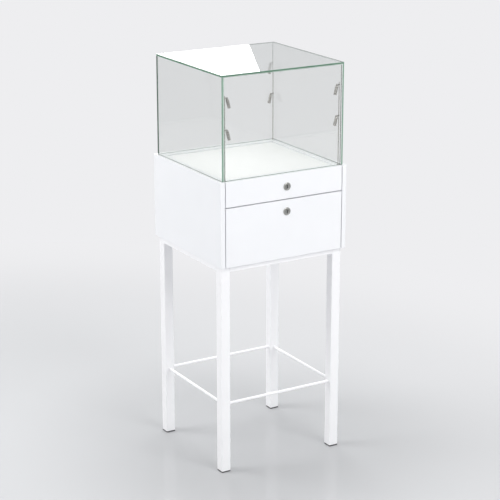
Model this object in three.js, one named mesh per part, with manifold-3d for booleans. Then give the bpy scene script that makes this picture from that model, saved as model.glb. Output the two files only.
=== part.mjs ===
// A pedestal display case: a steel leg frame, a lacquered cabinet with a lockable drawer, and a glass
// case whose front pane stands on a lockable deck that pulls out on telescopic slides. Millimetres,
// +Z up, the front faces -Y, and the origin is on the floor under the middle of the case.
import * as THREE from "three";
import { mergeVertices } from "three/addons/utils/BufferGeometryUtils.js";
import Module from "manifold-3d";

const wasm = await Module();
wasm.setup();

// Cabinet.
const WIDTH = 500;
const DEPTH = 480;
const BOARD = 16;
const EASE = 0.5; // eased edge of a lacquered board
const CABINET_HEIGHT = 300;
const DECK_FRONT_HEIGHT = 88;
const REVEAL = 3; // gap beside the two fronts
const FRONT_GAP = 4; // gap between them
const BOTTOM_REVEAL = 1;
const CLEARANCE = 2; // round the parts that slide inside the cabinet

// Leg frame.
const GLIDE_HEIGHT = 4;
const LEG_LENGTH = 750;
const LEG = 35;
const LEG_WALL = 2;
const LEG_CORNER = 3;
const LEG_INSET_SIDE = 8;
const LEG_INSET_FRONT = 16;
const TOP_RAIL = 20;
const TOP_RAIL_WALL = 1.5;
const TOP_RAIL_CORNER = 2;
const STRETCHER_DIAMETER = 10;
const STRETCHER_HEIGHT = 250;
const FRAME_BOLT_HOLE = 7;

// Glass case.
const PANE = 6;
const PANE_HEIGHT = 352;
const PANE_ARRIS = 0.5; // ground edge
const GLASS_INSET = 10; // from the cabinet's outer faces
const BOND = 0.25; // clear adhesive joint
const FRONT_PANE_GAP = 3; // side clearance of the pane that moves
const FRONT_PANE_TOP_GAP = 1.5;

// Deck.
const TRAY_THICKNESS = 18;
const TRAY_BORDER_SIDE = 16;
const TRAY_BORDER_FRONT = 20;
const TRAY_BORDER_BACK = 18;
const RECESS_DEPTH = 10;
const INLAY_THICKNESS = 5.5;
const RUNNER_HEIGHT = 52;
const BOX_BOARD = 12; // runners and drawer sides

// Slides: the space between the cabinet side and the box board, and the rolled members.
const SLIDE_SPACE = 13;
const SLIDE_LENGTH = 400;
const SHEET = 1.25;
const DECK_SLIDE_HEIGHT = 45;

// Drawer.
const DRAWER_HEIGHT = 160;
const DRAWER_FLOOR_LIFT = 22; // drawer box above the underside of the cabinet
const DRAWER_BOTTOM = 6;
const GROOVE_LIFT = 10;
const GROOVE_DEPTH = 5;

// Divider rail behind the gap of the fronts.
const DIVIDER_HEIGHT = 40;
const DIVIDER_BELOW_GAP = 22;

// Locks.
const LOCK_X = 8; // right of the middle
const BEZEL_RADIUS = 14;
const BEZEL = 3;
const BARREL_RADIUS = 11;
const BARREL_LENGTH = 32;
const PLUG_RADIUS = 8;
const CAM_LENGTH = 40;
const CAM_THICKNESS = 2;
const CAM_BEHIND_DIVIDER = 1;
const DECK_LOCK_DROP = 45; // below the deck
const DRAWER_LOCK_DROP = 132.5;

// Spotlights.
const POLE_INSET = { left: 27, right: 22.5, front: 22.5, back: 24 }; // from the cabinet's outer faces
const POLE_RADIUS = 1.5;
const POLE_HEIGHT = 288; // above the deck
const ARM_HEIGHTS = { low: 172, high: 280 };
const ARM_REACH = 8.5;
const SPOT_RADIUS = 5.5;
const SPOT_LENGTH = 30;
const SPOT_NECK = 5;
const SPOT_LEAN = 14; // degrees from hanging straight down, towards the middle of the case

// Driver and its inlet socket.
const DRIVER = { width: 100, depth: 25, height: 45, lift: 68, corner: 4 };
const INLET_RADIUS = 8;
const INLET_FLANGE_RADIUS = 11;
const INLET_BORE = 4.5;
const INLET_PIN = 1;
const INLET_DEPTH = 12;

// Levels and faces that follow from the sizes.
const FRAME_TOP = GLIDE_HEIGHT + LEG_LENGTH;
const DECK = FRAME_TOP + CABINET_HEIGHT;
const HALF_W = WIDTH / 2;
const FRONT = -DEPTH / 2;
const BACK = DEPTH / 2;
const INNER_W = HALF_W - BOARD;
const FRONT_REAR = FRONT + BOARD; // rear face of both fronts
const BACK_FACE = BACK - BOARD; // inner face of the back panel
const CARCASS_FRONT = FRONT_REAR + CLEARANCE;
const GAP_TOP = DECK - DECK_FRONT_HEIGHT;
const BOX_FACE = INNER_W - SLIDE_SPACE; // outer face of runners and drawer sides
const SLIDE_FRONT = FRONT_REAR + 4;

// Finishes, from the photograph.
const paint = (color, roughness, metalness = 0) =>
  new THREE.MeshStandardMaterial({ color, roughness, metalness });
const whiteLacquer = paint(0xf6f7f9, 0.35);
const powderCoat = paint(0xf4f4f6, 0.45);
const whiteBoard = paint(0xf8f8f6, 0.6);
const blackPlastic = paint(0x1c1c1e, 0.6);
const zincSteel = paint(0xb9bdc1, 0.4, 1);
const whiteSteel = paint(0xececec, 0.45, 0.2);
const nickel = paint(0xb5b2ac, 0.3, 1);
const brushedSpot = paint(0xa8a6a2, 0.35, 1);
const greyPlastic = paint(0x55585c, 0.6);
const glass = new THREE.MeshStandardMaterial({
  color: 0xd3dcd8,
  roughness: 0.03,
  metalness: 0,
  transparent: true,
  opacity: 0.35,
});

// Boolean work on closed three.js geometry.
function toSolid(geometry) {
  const bare = geometry.clone();
  bare.deleteAttribute("normal");
  bare.deleteAttribute("uv");
  const merged = mergeVertices(bare, 1e-4);
  return new wasm.Manifold(
    new wasm.Mesh({
      numProp: 3,
      vertProperties: new Float32Array(merged.attributes.position.array),
      triVerts: new Uint32Array(merged.index.array),
    }),
  );
}

function toGeometry(solid) {
  const mesh = solid.getMesh();
  return new THREE.BufferGeometry()
    .setAttribute("position", new THREE.BufferAttribute(new Float32Array(mesh.vertProperties), 3))
    .setIndex(new THREE.BufferAttribute(new Uint32Array(mesh.triVerts), 1))
    .toNonIndexed();
}

const join = (...parts) => toGeometry(parts.map(toSolid).reduce((sum, next) => sum.add(next)));
const cut = (body, ...tools) =>
  toGeometry(tools.map(toSolid).reduce((rest, tool) => rest.subtract(tool), toSolid(body)));

// Outlines.
function rectangle(x0, y0, x1, y1) {
  return new THREE.Shape([
    new THREE.Vector2(x0, y0),
    new THREE.Vector2(x1, y0),
    new THREE.Vector2(x1, y1),
    new THREE.Vector2(x0, y1),
  ]);
}

function roundedRectangle(width, height, radius, Outline = THREE.Shape) {
  const x = width / 2 - radius;
  const y = height / 2 - radius;
  const outline = new Outline();
  outline.absarc(x, y, radius, 0, Math.PI / 2);
  outline.absarc(-x, y, radius, Math.PI / 2, Math.PI);
  outline.absarc(-x, -y, radius, Math.PI, 1.5 * Math.PI);
  outline.absarc(x, -y, radius, 1.5 * Math.PI, 2 * Math.PI);
  outline.closePath();
  return outline;
}

function withHole(outline, x, y, radius) {
  outline.holes.push(new THREE.Path().absarc(x, y, radius, 0, 2 * Math.PI, true));
  return outline;
}

const polygon = (points) => new THREE.Shape(points.map(([x, y]) => new THREE.Vector2(x, y)));

// An outline extruded to a thickness, with eased edges where asked.
function slab(outline, thickness, ease = 0, curveSegments = 6) {
  const bevel = ease
    ? { bevelEnabled: true, bevelThickness: ease, bevelSize: ease, bevelOffset: -ease, bevelSegments: 1 }
    : { bevelEnabled: false };
  const depth = thickness - 2 * ease;
  return new THREE.ExtrudeGeometry(outline, { depth, curveSegments, ...bevel }).translate(0, 0, ease);
}

// How an extrusion is turned: its x, y and depth axes laid on the case's axes.
const axes = (x, y, depth) => new THREE.Matrix4().makeBasis(x, y, depth);
const X = new THREE.Vector3(1, 0, 0);
const Y = new THREE.Vector3(0, 1, 0);
const Z = new THREE.Vector3(0, 0, 1);
const TOWARDS_FRONT = axes(X, Z, Y.clone().negate()); // outline in x and z
const TOWARDS_RIGHT = axes(Y, Z, X); // outline in y and z

const flat = (outline, thickness, z, ease) => slab(outline, thickness, ease).translate(0, 0, z);
const upright = (outline, thickness, y, ease) =>
  slab(outline, thickness, ease).applyMatrix4(TOWARDS_FRONT).translate(0, y + thickness, 0);
const sideways = (outline, thickness, x, ease) =>
  slab(outline, thickness, ease).applyMatrix4(TOWARDS_RIGHT).translate(x, 0, 0);

// A rolled profile, outline in x and z, running along the slide.
const rolled = (outline, y, length) =>
  slab(outline, length).applyMatrix4(TOWARDS_FRONT).translate(0, y + length, 0);

// A turned piece on the z axis; the profile is [radius, height] points, outer wall upwards.
const turned = (profile, segments = 16) =>
  new THREE.LatheGeometry(profile.map(([r, h]) => new THREE.Vector2(r, h)), segments).rotateX(Math.PI / 2);

// The same on the y axis, its heights counted towards the back.
const turnedAlongDepth = (profile, segments = 20) =>
  new THREE.LatheGeometry(profile.map(([r, h]) => new THREE.Vector2(r, h)), segments);

const rodAlongY = (radius, length, segments = 16) =>
  new THREE.CylinderGeometry(radius, radius, length, segments);
const rodAlongX = (radius, length, segments) => rodAlongY(radius, length, segments).rotateZ(Math.PI / 2);

const part = new THREE.Group();

function place(name, geometry, material, x = 0, y = 0, z = 0) {
  const mesh = new THREE.Mesh(geometry, material);
  mesh.name = name;
  mesh.position.set(x, y, z);
  part.add(mesh);
  return mesh;
}

const mirrored = (geometry) => {
  const flipped = geometry.index ? geometry.toNonIndexed() : geometry.clone();
  flipped.scale(-1, 1, 1);
  const corners = flipped.attributes.position;
  for (let i = 0; i < corners.count; i += 3) {
    const [x, y, z] = [corners.getX(i), corners.getY(i), corners.getZ(i)];
    corners.setXYZ(i, corners.getX(i + 2), corners.getY(i + 2), corners.getZ(i + 2));
    corners.setXYZ(i + 2, x, y, z);
  }
  flipped.deleteAttribute("normal");
  return flipped;
};

// A piece made for the right side, and its mirror image for the left.
function placePair(name, geometry, material) {
  place(name + "_right", geometry, material);
  place(name + "_left", mirrored(geometry), material);
}

// Leg frame: square tubes closed at the top, rails and rods welded between them, and pushed-in glides.
const GLIDE_PLUG_HEIGHT = 18;
const GLIDE_PLUG_WALL = 2.5;
const GLIDE_PLAY = 0.3; // round the plug, in the tube
const GLIDE_BARB_PLAY = 0.1;
const GLIDE_BARB_LEVELS = [7, 13];
const SIDES = { left: -1, right: 1 };
const ENDS = { front: -1, back: 1 };
const LEG_X = HALF_W - LEG_INSET_SIDE - LEG / 2;
const LEG_Y = DEPTH / 2 - LEG_INSET_FRONT - LEG / 2;

function tube(width, height, wall, corner, length) {
  const section = roundedRectangle(width, height, corner);
  section.holes.push(roundedRectangle(width - 2 * wall, height - 2 * wall, corner - wall, THREE.Path));
  return slab(section, length, 0, 2);
}

function legGeometry() {
  const capOutline = withHole(roundedRectangle(LEG, LEG, LEG_CORNER), 0, 0, FRAME_BOLT_HOLE / 2);
  const cap = slab(capOutline, LEG_WALL, 0, 2).translate(0, 0, LEG_LENGTH - LEG_WALL);
  return join(tube(LEG, LEG, LEG_WALL, LEG_CORNER, LEG_LENGTH), cap);
}

function glideGeometry() {
  const bore = LEG - 2 * LEG_WALL;
  const square = (width, height) => slab(roundedRectangle(width, width, LEG_CORNER - LEG_WALL), height, 0, 1);
  const plugWidth = bore - 2 * GLIDE_PLAY;
  const foot = slab(roundedRectangle(LEG, LEG, LEG_CORNER), GLIDE_HEIGHT, EASE, 2);
  const plug = square(plugWidth, GLIDE_PLUG_HEIGHT).translate(0, 0, GLIDE_HEIGHT - 1);
  const barbs = GLIDE_BARB_LEVELS.map((z) => square(bore - 2 * GLIDE_BARB_PLAY, 1.5).translate(0, 0, z));
  const hollow = square(plugWidth - 2 * GLIDE_PLUG_WALL, GLIDE_PLUG_HEIGHT).translate(0, 0, GLIDE_HEIGHT + 1);
  return cut(join(foot, plug, ...barbs), hollow);
}

const leg = legGeometry();
const glide = glideGeometry();
for (const [end, y] of Object.entries(ENDS)) {
  for (const [side, x] of Object.entries(SIDES)) {
    place(`leg_${end}_${side}`, leg, powderCoat, x * LEG_X, y * LEG_Y, GLIDE_HEIGHT);
    place(`glide_${end}_${side}`, glide, blackPlastic, x * LEG_X, y * LEG_Y, 0);
  }
}

// A top rail with two bolt holes across it, made along z: they run up and down once it lies along x or y.
function topRail(length) {
  const holes = [0.25, 0.75].map((share) =>
    rodAlongY(FRAME_BOLT_HOLE / 2, TOP_RAIL + 2, 12).translate(0, 0, share * length),
  );
  return cut(tube(TOP_RAIL, TOP_RAIL, TOP_RAIL_WALL, TOP_RAIL_CORNER, length), ...holes);
}

const BETWEEN_X = 2 * (LEG_X - LEG / 2);
const BETWEEN_Y = 2 * (LEG_Y - LEG / 2);
const RAIL_Z = FRAME_TOP - TOP_RAIL / 2;
const railAcross = topRail(BETWEEN_X).applyMatrix4(TOWARDS_RIGHT).translate(-BETWEEN_X / 2, 0, 0);
const railAlong = topRail(BETWEEN_Y).applyMatrix4(TOWARDS_FRONT).translate(0, BETWEEN_Y / 2, 0);
const RAIL_X = HALF_W - LEG_INSET_SIDE - TOP_RAIL / 2;
const RAIL_Y = DEPTH / 2 - LEG_INSET_FRONT - TOP_RAIL / 2;
const rodAcross = rodAlongX(STRETCHER_DIAMETER / 2, BETWEEN_X);
const rodAlong = rodAlongY(STRETCHER_DIAMETER / 2, BETWEEN_Y);
for (const [end, y] of Object.entries(ENDS)) {
  place(`top_rail_${end}`, railAcross, powderCoat, 0, y * RAIL_Y, RAIL_Z);
  place(`stretcher_${end}`, rodAcross, powderCoat, 0, y * LEG_Y, STRETCHER_HEIGHT);
}
for (const [side, x] of Object.entries(SIDES)) {
  place(`top_rail_${side}`, railAlong, powderCoat, x * RAIL_X, 0, RAIL_Z);
  place(`stretcher_${side}`, rodAlong, powderCoat, x * LEG_X, 0, STRETCHER_HEIGHT);
}

// Cabinet carcass.
const INLET_Z = FRAME_TOP + DRIVER.lift;
const DIVIDER_Z = GAP_TOP - FRONT_GAP / 2 - DIVIDER_BELOW_GAP;
const sideBoard = rectangle(FRONT, FRAME_TOP, BACK, DECK);
const bottomBoard = rectangle(-INNER_W, CARCASS_FRONT, INNER_W, BACK_FACE);
const backBoard = withHole(rectangle(-INNER_W, FRAME_TOP, INNER_W, DECK), 0, INLET_Z, INLET_RADIUS + 0.5);
const dividerBoard = rectangle(-INNER_W, DIVIDER_Z, INNER_W, DIVIDER_Z + DIVIDER_HEIGHT);
placePair("cabinet_side", sideways(sideBoard, BOARD, INNER_W, EASE), whiteLacquer);
place("cabinet_back", upright(backBoard, BOARD, BACK_FACE, EASE), whiteLacquer);
place("cabinet_bottom", flat(bottomBoard, BOARD, FRAME_TOP, EASE), whiteLacquer);
place("divider_rail", upright(dividerBoard, BOARD, CARCASS_FRONT, EASE), whiteLacquer);

// Glass case: sides the full depth, back between them, top over all, and the front pane on the deck.
const GLASS_FACE = HALF_W - GLASS_INSET - PANE; // inner face of the side panes
const GLASS_FRONT = FRONT + GLASS_INSET;
const GLASS_BACK = BACK_FACE + PANE;
const PANE_Z = DECK + BOND;
const PANE_TOP = PANE_Z + PANE_HEIGHT;
const FRONT_PANE_X = GLASS_FACE - FRONT_PANE_GAP;
const FRONT_PANE_TOP = PANE_TOP + BOND - FRONT_PANE_TOP_GAP;
const sidePane = rectangle(GLASS_FRONT, PANE_Z, GLASS_BACK, PANE_TOP);
const backPane = rectangle(BOND - GLASS_FACE, PANE_Z, GLASS_FACE - BOND, PANE_TOP);
const topPane = rectangle(-GLASS_FACE - PANE, GLASS_FRONT, GLASS_FACE + PANE, GLASS_BACK);
const frontPane = rectangle(-FRONT_PANE_X, PANE_Z, FRONT_PANE_X, FRONT_PANE_TOP);
placePair("glass", sideways(sidePane, PANE, GLASS_FACE, PANE_ARRIS), glass);
place("glass_back", upright(backPane, PANE, BACK_FACE, PANE_ARRIS), glass);
place("glass_top", flat(topPane, PANE, PANE_TOP + BOND, PANE_ARRIS), glass);
place("glass_front", upright(frontPane, PANE, GLASS_FRONT, PANE_ARRIS), glass);

// Fronts, each with the bore of its lock.
const FRONT_X = INNER_W - REVEAL;
const DECK_LOCK_Z = DECK - DECK_LOCK_DROP;
const DRAWER_LOCK_Z = DECK - DRAWER_LOCK_DROP;
const DRAWER_FRONT_TOP = GAP_TOP - FRONT_GAP;
const frontBoard = (bottom, top, lockZ) => {
  const outline = withHole(rectangle(-FRONT_X, bottom, FRONT_X, top), LOCK_X, lockZ, BARREL_RADIUS + 0.4);
  return upright(outline, BOARD, FRONT, EASE);
};
place("deck_front", frontBoard(GAP_TOP, DECK, DECK_LOCK_Z), whiteLacquer);
place("drawer_front", frontBoard(FRAME_TOP + BOTTOM_REVEAL, DRAWER_FRONT_TOP, DRAWER_LOCK_Z), whiteLacquer);

// Deck: a tray with a raised border, a recess for the display board, bores for the poles and a runner
// on each side.
const TRAY_BACK = BACK_FACE - CLEARANCE;
const TRAY_X = INNER_W - CLEARANCE;
const POLES = {
  front_left: { x: POLE_INSET.left - HALF_W, y: FRONT + POLE_INSET.front, side: 1 },
  front_right: { x: HALF_W - POLE_INSET.right, y: FRONT + POLE_INSET.front, side: -1 },
  back_right: { x: HALF_W - POLE_INSET.right, y: BACK - POLE_INSET.back, side: -1 },
};

function trayGeometry() {
  const board = rectangle(-TRAY_X, FRONT_REAR, TRAY_X, TRAY_BACK);
  for (const pole of Object.values(POLES)) withHole(board, pole.x, pole.y, POLE_RADIUS + 0.3);
  const recess = rectangle(
    TRAY_BORDER_SIDE - TRAY_X,
    FRONT_REAR + TRAY_BORDER_FRONT,
    TRAY_X - TRAY_BORDER_SIDE,
    TRAY_BACK - TRAY_BORDER_BACK,
  );
  const underside = DECK - TRAY_THICKNESS;
  const runnerBoard = rectangle(FRONT_REAR, underside - RUNNER_HEIGHT, SLIDE_FRONT + SLIDE_LENGTH, underside);
  const runner = (x) => sideways(runnerBoard, BOX_BOARD, x);
  return join(
    cut(flat(board, TRAY_THICKNESS, underside), flat(recess, RECESS_DEPTH + 1, DECK - RECESS_DEPTH)),
    runner(BOX_FACE - BOX_BOARD),
    runner(-BOX_FACE),
  );
}

place("deck_tray", trayGeometry(), whiteLacquer);
const INLAY_GAP = 0.5;
const inlay = rectangle(
  TRAY_BORDER_SIDE - TRAY_X + INLAY_GAP,
  FRONT_REAR + TRAY_BORDER_FRONT + INLAY_GAP,
  TRAY_X - TRAY_BORDER_SIDE - INLAY_GAP,
  TRAY_BACK - TRAY_BORDER_BACK - INLAY_GAP,
);
place("deck_inlay", flat(inlay, INLAY_THICKNESS, DECK - RECESS_DEPTH, EASE), whiteBoard);

// Telescopic slide: three rolled members, one inside the other, with the ball rows as ribs on the middle one.
// Sections run from the cabinet side inwards (u) and up from the slide's middle (v).
function memberSection(upperHalf) {
  const lowerHalf = upperHalf.map(([u, v]) => [u, -v]).reverse();
  return polygon([...upperHalf, ...lowerHalf].map(([u, v]) => [INNER_W - u, DECK_SLIDE_Z + v]).reverse());
}

const DECK_SLIDE_Z = DECK - TRAY_THICKNESS - RUNNER_HEIGHT + DECK_SLIDE_HEIGHT / 2 + 2;
const OUTER_HALF = DECK_SLIDE_HEIGHT / 2;
const MIDDLE_HALF = 17.5;
const INNER_HALF = 12.25;
const outerSection = [
  [0, OUTER_HALF],
  [10, OUTER_HALF],
  [10, OUTER_HALF - 2.75],
  [10 - SHEET, OUTER_HALF - 2.75],
  [10 - SHEET, OUTER_HALF - SHEET],
  [SHEET, OUTER_HALF - SHEET],
];
const middleSection = [
  [2.5, MIDDLE_HALF],
  [4, MIDDLE_HALF],
  [4.5, MIDDLE_HALF + 3],
  [6.5, MIDDLE_HALF + 3],
  [7, MIDDLE_HALF],
  [12, MIDDLE_HALF],
  [12, MIDDLE_HALF - SHEET],
  [10.5, MIDDLE_HALF - SHEET],
  [10, INNER_HALF + 0.75],
  [8, INNER_HALF + 0.75],
  [7.5, MIDDLE_HALF - SHEET],
  [2.5 + SHEET, MIDDLE_HALF - SHEET],
];
const innerSection = [
  [SLIDE_SPACE, INNER_HALF],
  [5.5, INNER_HALF],
  [5.5, INNER_HALF - SHEET],
  [SLIDE_SPACE - SHEET, INNER_HALF - SHEET],
].reverse();
const deckMembers = { cabinet: outerSection, middle: middleSection, deck: innerSection };
for (const [member, section] of Object.entries(deckMembers)) {
  const profile = rolled(memberSection(section), SLIDE_FRONT, SLIDE_LENGTH);
  placePair(`deck_slide_${member}_member`, profile, zincSteel);
}

// Drawer box: grooved sides, a bottom that slides into the grooves, and a back that stands on it.
const DRAWER_Z = FRAME_TOP + DRAWER_FLOOR_LIFT;
const DRAWER_BACK = SLIDE_FRONT + SLIDE_LENGTH - 4;
const GROOVE_PLAY = 0.5;
const BOX_INNER = BOX_FACE - BOX_BOARD;
const GROOVE_Z = DRAWER_Z + GROOVE_LIFT;
const drawerSideSection = polygon([
  [BOX_INNER, DRAWER_Z],
  [BOX_FACE, DRAWER_Z],
  [BOX_FACE, DRAWER_Z + DRAWER_HEIGHT],
  [BOX_INNER, DRAWER_Z + DRAWER_HEIGHT],
  [BOX_INNER, GROOVE_Z + DRAWER_BOTTOM + GROOVE_PLAY],
  [BOX_INNER + GROOVE_DEPTH, GROOVE_Z + DRAWER_BOTTOM + GROOVE_PLAY],
  [BOX_INNER + GROOVE_DEPTH, GROOVE_Z],
  [BOX_INNER, GROOVE_Z],
]);
placePair("drawer_side", rolled(drawerSideSection, FRONT_REAR, DRAWER_BACK - FRONT_REAR), whiteBoard);
const BOTTOM_X = BOX_INNER + GROOVE_DEPTH - GROOVE_PLAY / 2;
const DRAWER_BACK_Z = GROOVE_Z + DRAWER_BOTTOM + GROOVE_PLAY;
const drawerBottomBoard = rectangle(-BOTTOM_X, FRONT_REAR, BOTTOM_X, DRAWER_BACK);
const drawerBackBoard = rectangle(-BOX_INNER, DRAWER_BACK_Z, BOX_INNER, DRAWER_Z + DRAWER_HEIGHT);
place("drawer_bottom", flat(drawerBottomBoard, DRAWER_BOTTOM, GROOVE_Z + GROOVE_PLAY / 2), whiteBoard);
place("drawer_back", upright(drawerBackBoard, BOX_BOARD, DRAWER_BACK - BOX_BOARD, EASE), whiteBoard);

// Roller slide: the cabinet channel carries a roller at its front, the drawer angle one at its rear.
const CHANNEL_Z = DRAWER_Z + 10;
const CHANNEL_HEIGHT = 26;
const ANGLE_HEIGHT = 30;
const ROLLER_PLAY = 0.25;
const FRONT_ROLLER = 8; // radii of the rollers and of the rear one's axle
const REAR_ROLLER = 11;
const REAR_AXLE = 2.5;
const channelSection = [
  [0, CHANNEL_HEIGHT],
  [0, 0],
  [10, 0],
  [10, 3],
  [10 - SHEET, 3],
  [10 - SHEET, SHEET],
  [SHEET, SHEET],
  [SHEET, CHANNEL_HEIGHT - SHEET],
  [10, CHANNEL_HEIGHT - SHEET],
  [10, CHANNEL_HEIGHT],
];
const angleSection = [
  [SLIDE_SPACE + BOX_BOARD, -SHEET],
  [SLIDE_SPACE + BOX_BOARD, 0],
  [SLIDE_SPACE, 0],
  [SLIDE_SPACE, ANGLE_HEIGHT],
  [3, ANGLE_HEIGHT],
  [3, ANGLE_HEIGHT - SHEET],
  [SLIDE_SPACE - SHEET, ANGLE_HEIGHT - SHEET],
  [SLIDE_SPACE - SHEET, -SHEET],
];
const fromSide = (points, lift) => polygon(points.map(([u, z]) => [INNER_W - u, lift + z]));
const roller = (radius, width, u, y, z) =>
  rodAlongX(radius, width, 20).translate(INNER_W - u - width / 2, y, z);
const FRONT_ROLLER_Y = SLIDE_FRONT + 14;
const FRONT_ROLLER_Z = DRAWER_Z + ANGLE_HEIGHT - SHEET - ROLLER_PLAY - FRONT_ROLLER;
const REAR_ROLLER_Y = SLIDE_FRONT + SLIDE_LENGTH - 30;
const REAR_ROLLER_Z = CHANNEL_Z + SHEET + ROLLER_PLAY + REAR_ROLLER;
placePair(
  "drawer_slide_cabinet_member",
  join(
    rolled(fromSide(channelSection, CHANNEL_Z), SLIDE_FRONT, SLIDE_LENGTH),
    roller(FRONT_ROLLER, 6.5, 1, FRONT_ROLLER_Y, FRONT_ROLLER_Z),
  ),
  whiteSteel,
);
placePair(
  "drawer_slide_drawer_member",
  join(
    rolled(fromSide(angleSection, DRAWER_Z), FRONT_REAR, SLIDE_LENGTH),
    roller(REAR_ROLLER, 5, 3.5, REAR_ROLLER_Y, REAR_ROLLER_Z),
    roller(REAR_AXLE, 4.5, 8, REAR_ROLLER_Y, REAR_ROLLER_Z),
  ),
  whiteSteel,
);

// Cam locks: a bezelled barrel through the front, a plug with a key slot, and a cam behind the divider rail.
const BEZEL_FACE = FRONT - BEZEL;
const BARREL_BACK = FRONT + BARREL_LENGTH;
const CAM_Y = CARCASS_FRONT + BOARD + CAM_BEHIND_DIVIDER;
const PLUG_BORE = PLUG_RADIUS + 0.3;
const TAIL = 7; // square end that carries the cam
const TAIL_ROOT = 2; // of it inside the barrel
const PLUG_FACE = 0.5; // set back from the bezel
const CAM_SCREW = 5;
const KEY_SLOT = { width: 2.4, height: 11, corner: 1.1, depth: 7 };
const CAM_HUB = 9;
const CAM_TIP = 6;

const lockBody = turnedAlongDepth(
  [
    [PLUG_BORE, 0.6],
    [PLUG_BORE + 0.6, 0],
    [BEZEL_RADIUS - 2.5, 0],
    [BEZEL_RADIUS - 0.7, 0.7],
    [BEZEL_RADIUS, 2],
    [BEZEL_RADIUS, BEZEL],
    [BARREL_RADIUS, BEZEL],
    [BARREL_RADIUS, BEZEL + BARREL_LENGTH],
    [PLUG_BORE, BEZEL + BARREL_LENGTH],
    [PLUG_BORE, 0.6],
  ],
  24,
).translate(0, BEZEL_FACE, 0);

function lockPlug() {
  const length = BARREL_BACK - BEZEL_FACE;
  const core = turnedAlongDepth(
    [
      [0, PLUG_FACE],
      [PLUG_RADIUS - 0.5, PLUG_FACE],
      [PLUG_RADIUS, PLUG_FACE + 0.5],
      [PLUG_RADIUS, length],
      [0, length],
    ],
    24,
  ).translate(0, BEZEL_FACE, 0);
  const tailEnd = CAM_Y + CAM_THICKNESS + 0.5;
  const tailOutline = rectangle(-TAIL / 2, -TAIL / 2, TAIL / 2, TAIL / 2);
  const tail = upright(tailOutline, tailEnd - BARREL_BACK + TAIL_ROOT, BARREL_BACK - TAIL_ROOT);
  const screw = rodAlongY(CAM_SCREW, 2).translate(0, tailEnd + 1, 0);
  const slotOutline = roundedRectangle(KEY_SLOT.width, KEY_SLOT.height, KEY_SLOT.corner);
  return cut(join(core, tail, screw), upright(slotOutline, KEY_SLOT.depth + 1, BEZEL_FACE - 1));
}

function lockCam() {
  const shoulder = Math.PI / 2.4;
  const arm = new THREE.Shape();
  arm.absarc(0, 0, CAM_HUB, shoulder, 2 * Math.PI - shoulder);
  arm.absarc(CAM_LENGTH - CAM_TIP, 0, CAM_TIP, -Math.PI / 2, Math.PI / 2);
  arm.closePath();
  const half = TAIL / 2 + 0.25;
  arm.holes.push(
    new THREE.Path([
      new THREE.Vector2(-half, -half),
      new THREE.Vector2(-half, half),
      new THREE.Vector2(half, half),
      new THREE.Vector2(half, -half),
    ]),
  );
  return upright(arm, CAM_THICKNESS, CAM_Y);
}

for (const [name, z] of Object.entries({ deck: DECK_LOCK_Z, drawer: DRAWER_LOCK_Z })) {
  place(`${name}_lock_body`, lockBody, nickel, LOCK_X, 0, z);
  place(`${name}_lock_plug`, lockPlug(), nickel, LOCK_X, 0, z);
  place(`${name}_lock_cam`, lockCam(), zincSteel, LOCK_X, 0, z);
}

// Spotlights: a pole stands in the deck's border with two arms, and a spot hangs from the eye of each arm.
const POLE_ROOT = 14; // of the pole below the deck
const COLLAR = 2.8;
const EYE_RADIUS = 3;
const EYE_THICKNESS = 3;
const ARM_HALF = 2;
const EAR_PLAY = 0.3;
const EAR = 1.25;
const PIN_RADIUS = 1;
const PIN_HOLE = 1.3;
const LENS_INSET = 2;
const FIN_DEPTH = 0.8;
const FIN_PITCH = 2;
const FINS = [0, 1];

function poleGeometry() {
  const foot = DECK + BOND;
  const tip = DECK + POLE_HEIGHT;
  const rod = turned(
    [
      [0, DECK - POLE_ROOT],
      [POLE_RADIUS, DECK - POLE_ROOT],
      [POLE_RADIUS, foot],
      [COLLAR, foot],
      [COLLAR, foot + 1.5],
      [POLE_RADIUS, foot + 2],
      [POLE_RADIUS, tip - 1],
      [POLE_RADIUS - 1, tip],
      [0, tip],
    ],
    12,
  );
  const root = Math.asin(ARM_HALF / EYE_RADIUS);
  const link = new THREE.Shape();
  link.moveTo(0, -ARM_HALF);
  link.lineTo(ARM_REACH - EYE_RADIUS * Math.cos(root), -ARM_HALF);
  link.absarc(ARM_REACH, 0, EYE_RADIUS, Math.PI + root, 3 * Math.PI - root);
  link.lineTo(0, ARM_HALF);
  link.closePath();
  withHole(link, ARM_REACH, 0, PIN_HOLE);
  const collarProfile = [[0, -COLLAR], [COLLAR, -COLLAR], [COLLAR, COLLAR], [0, COLLAR]];
  const arms = Object.values(ARM_HEIGHTS).flatMap((height) => [
    turned(collarProfile).translate(0, 0, DECK + height),
    upright(link, EYE_THICKNESS, -EYE_THICKNESS / 2).translate(0, 0, DECK + height),
  ]);
  return join(rod, ...arms);
}

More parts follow.
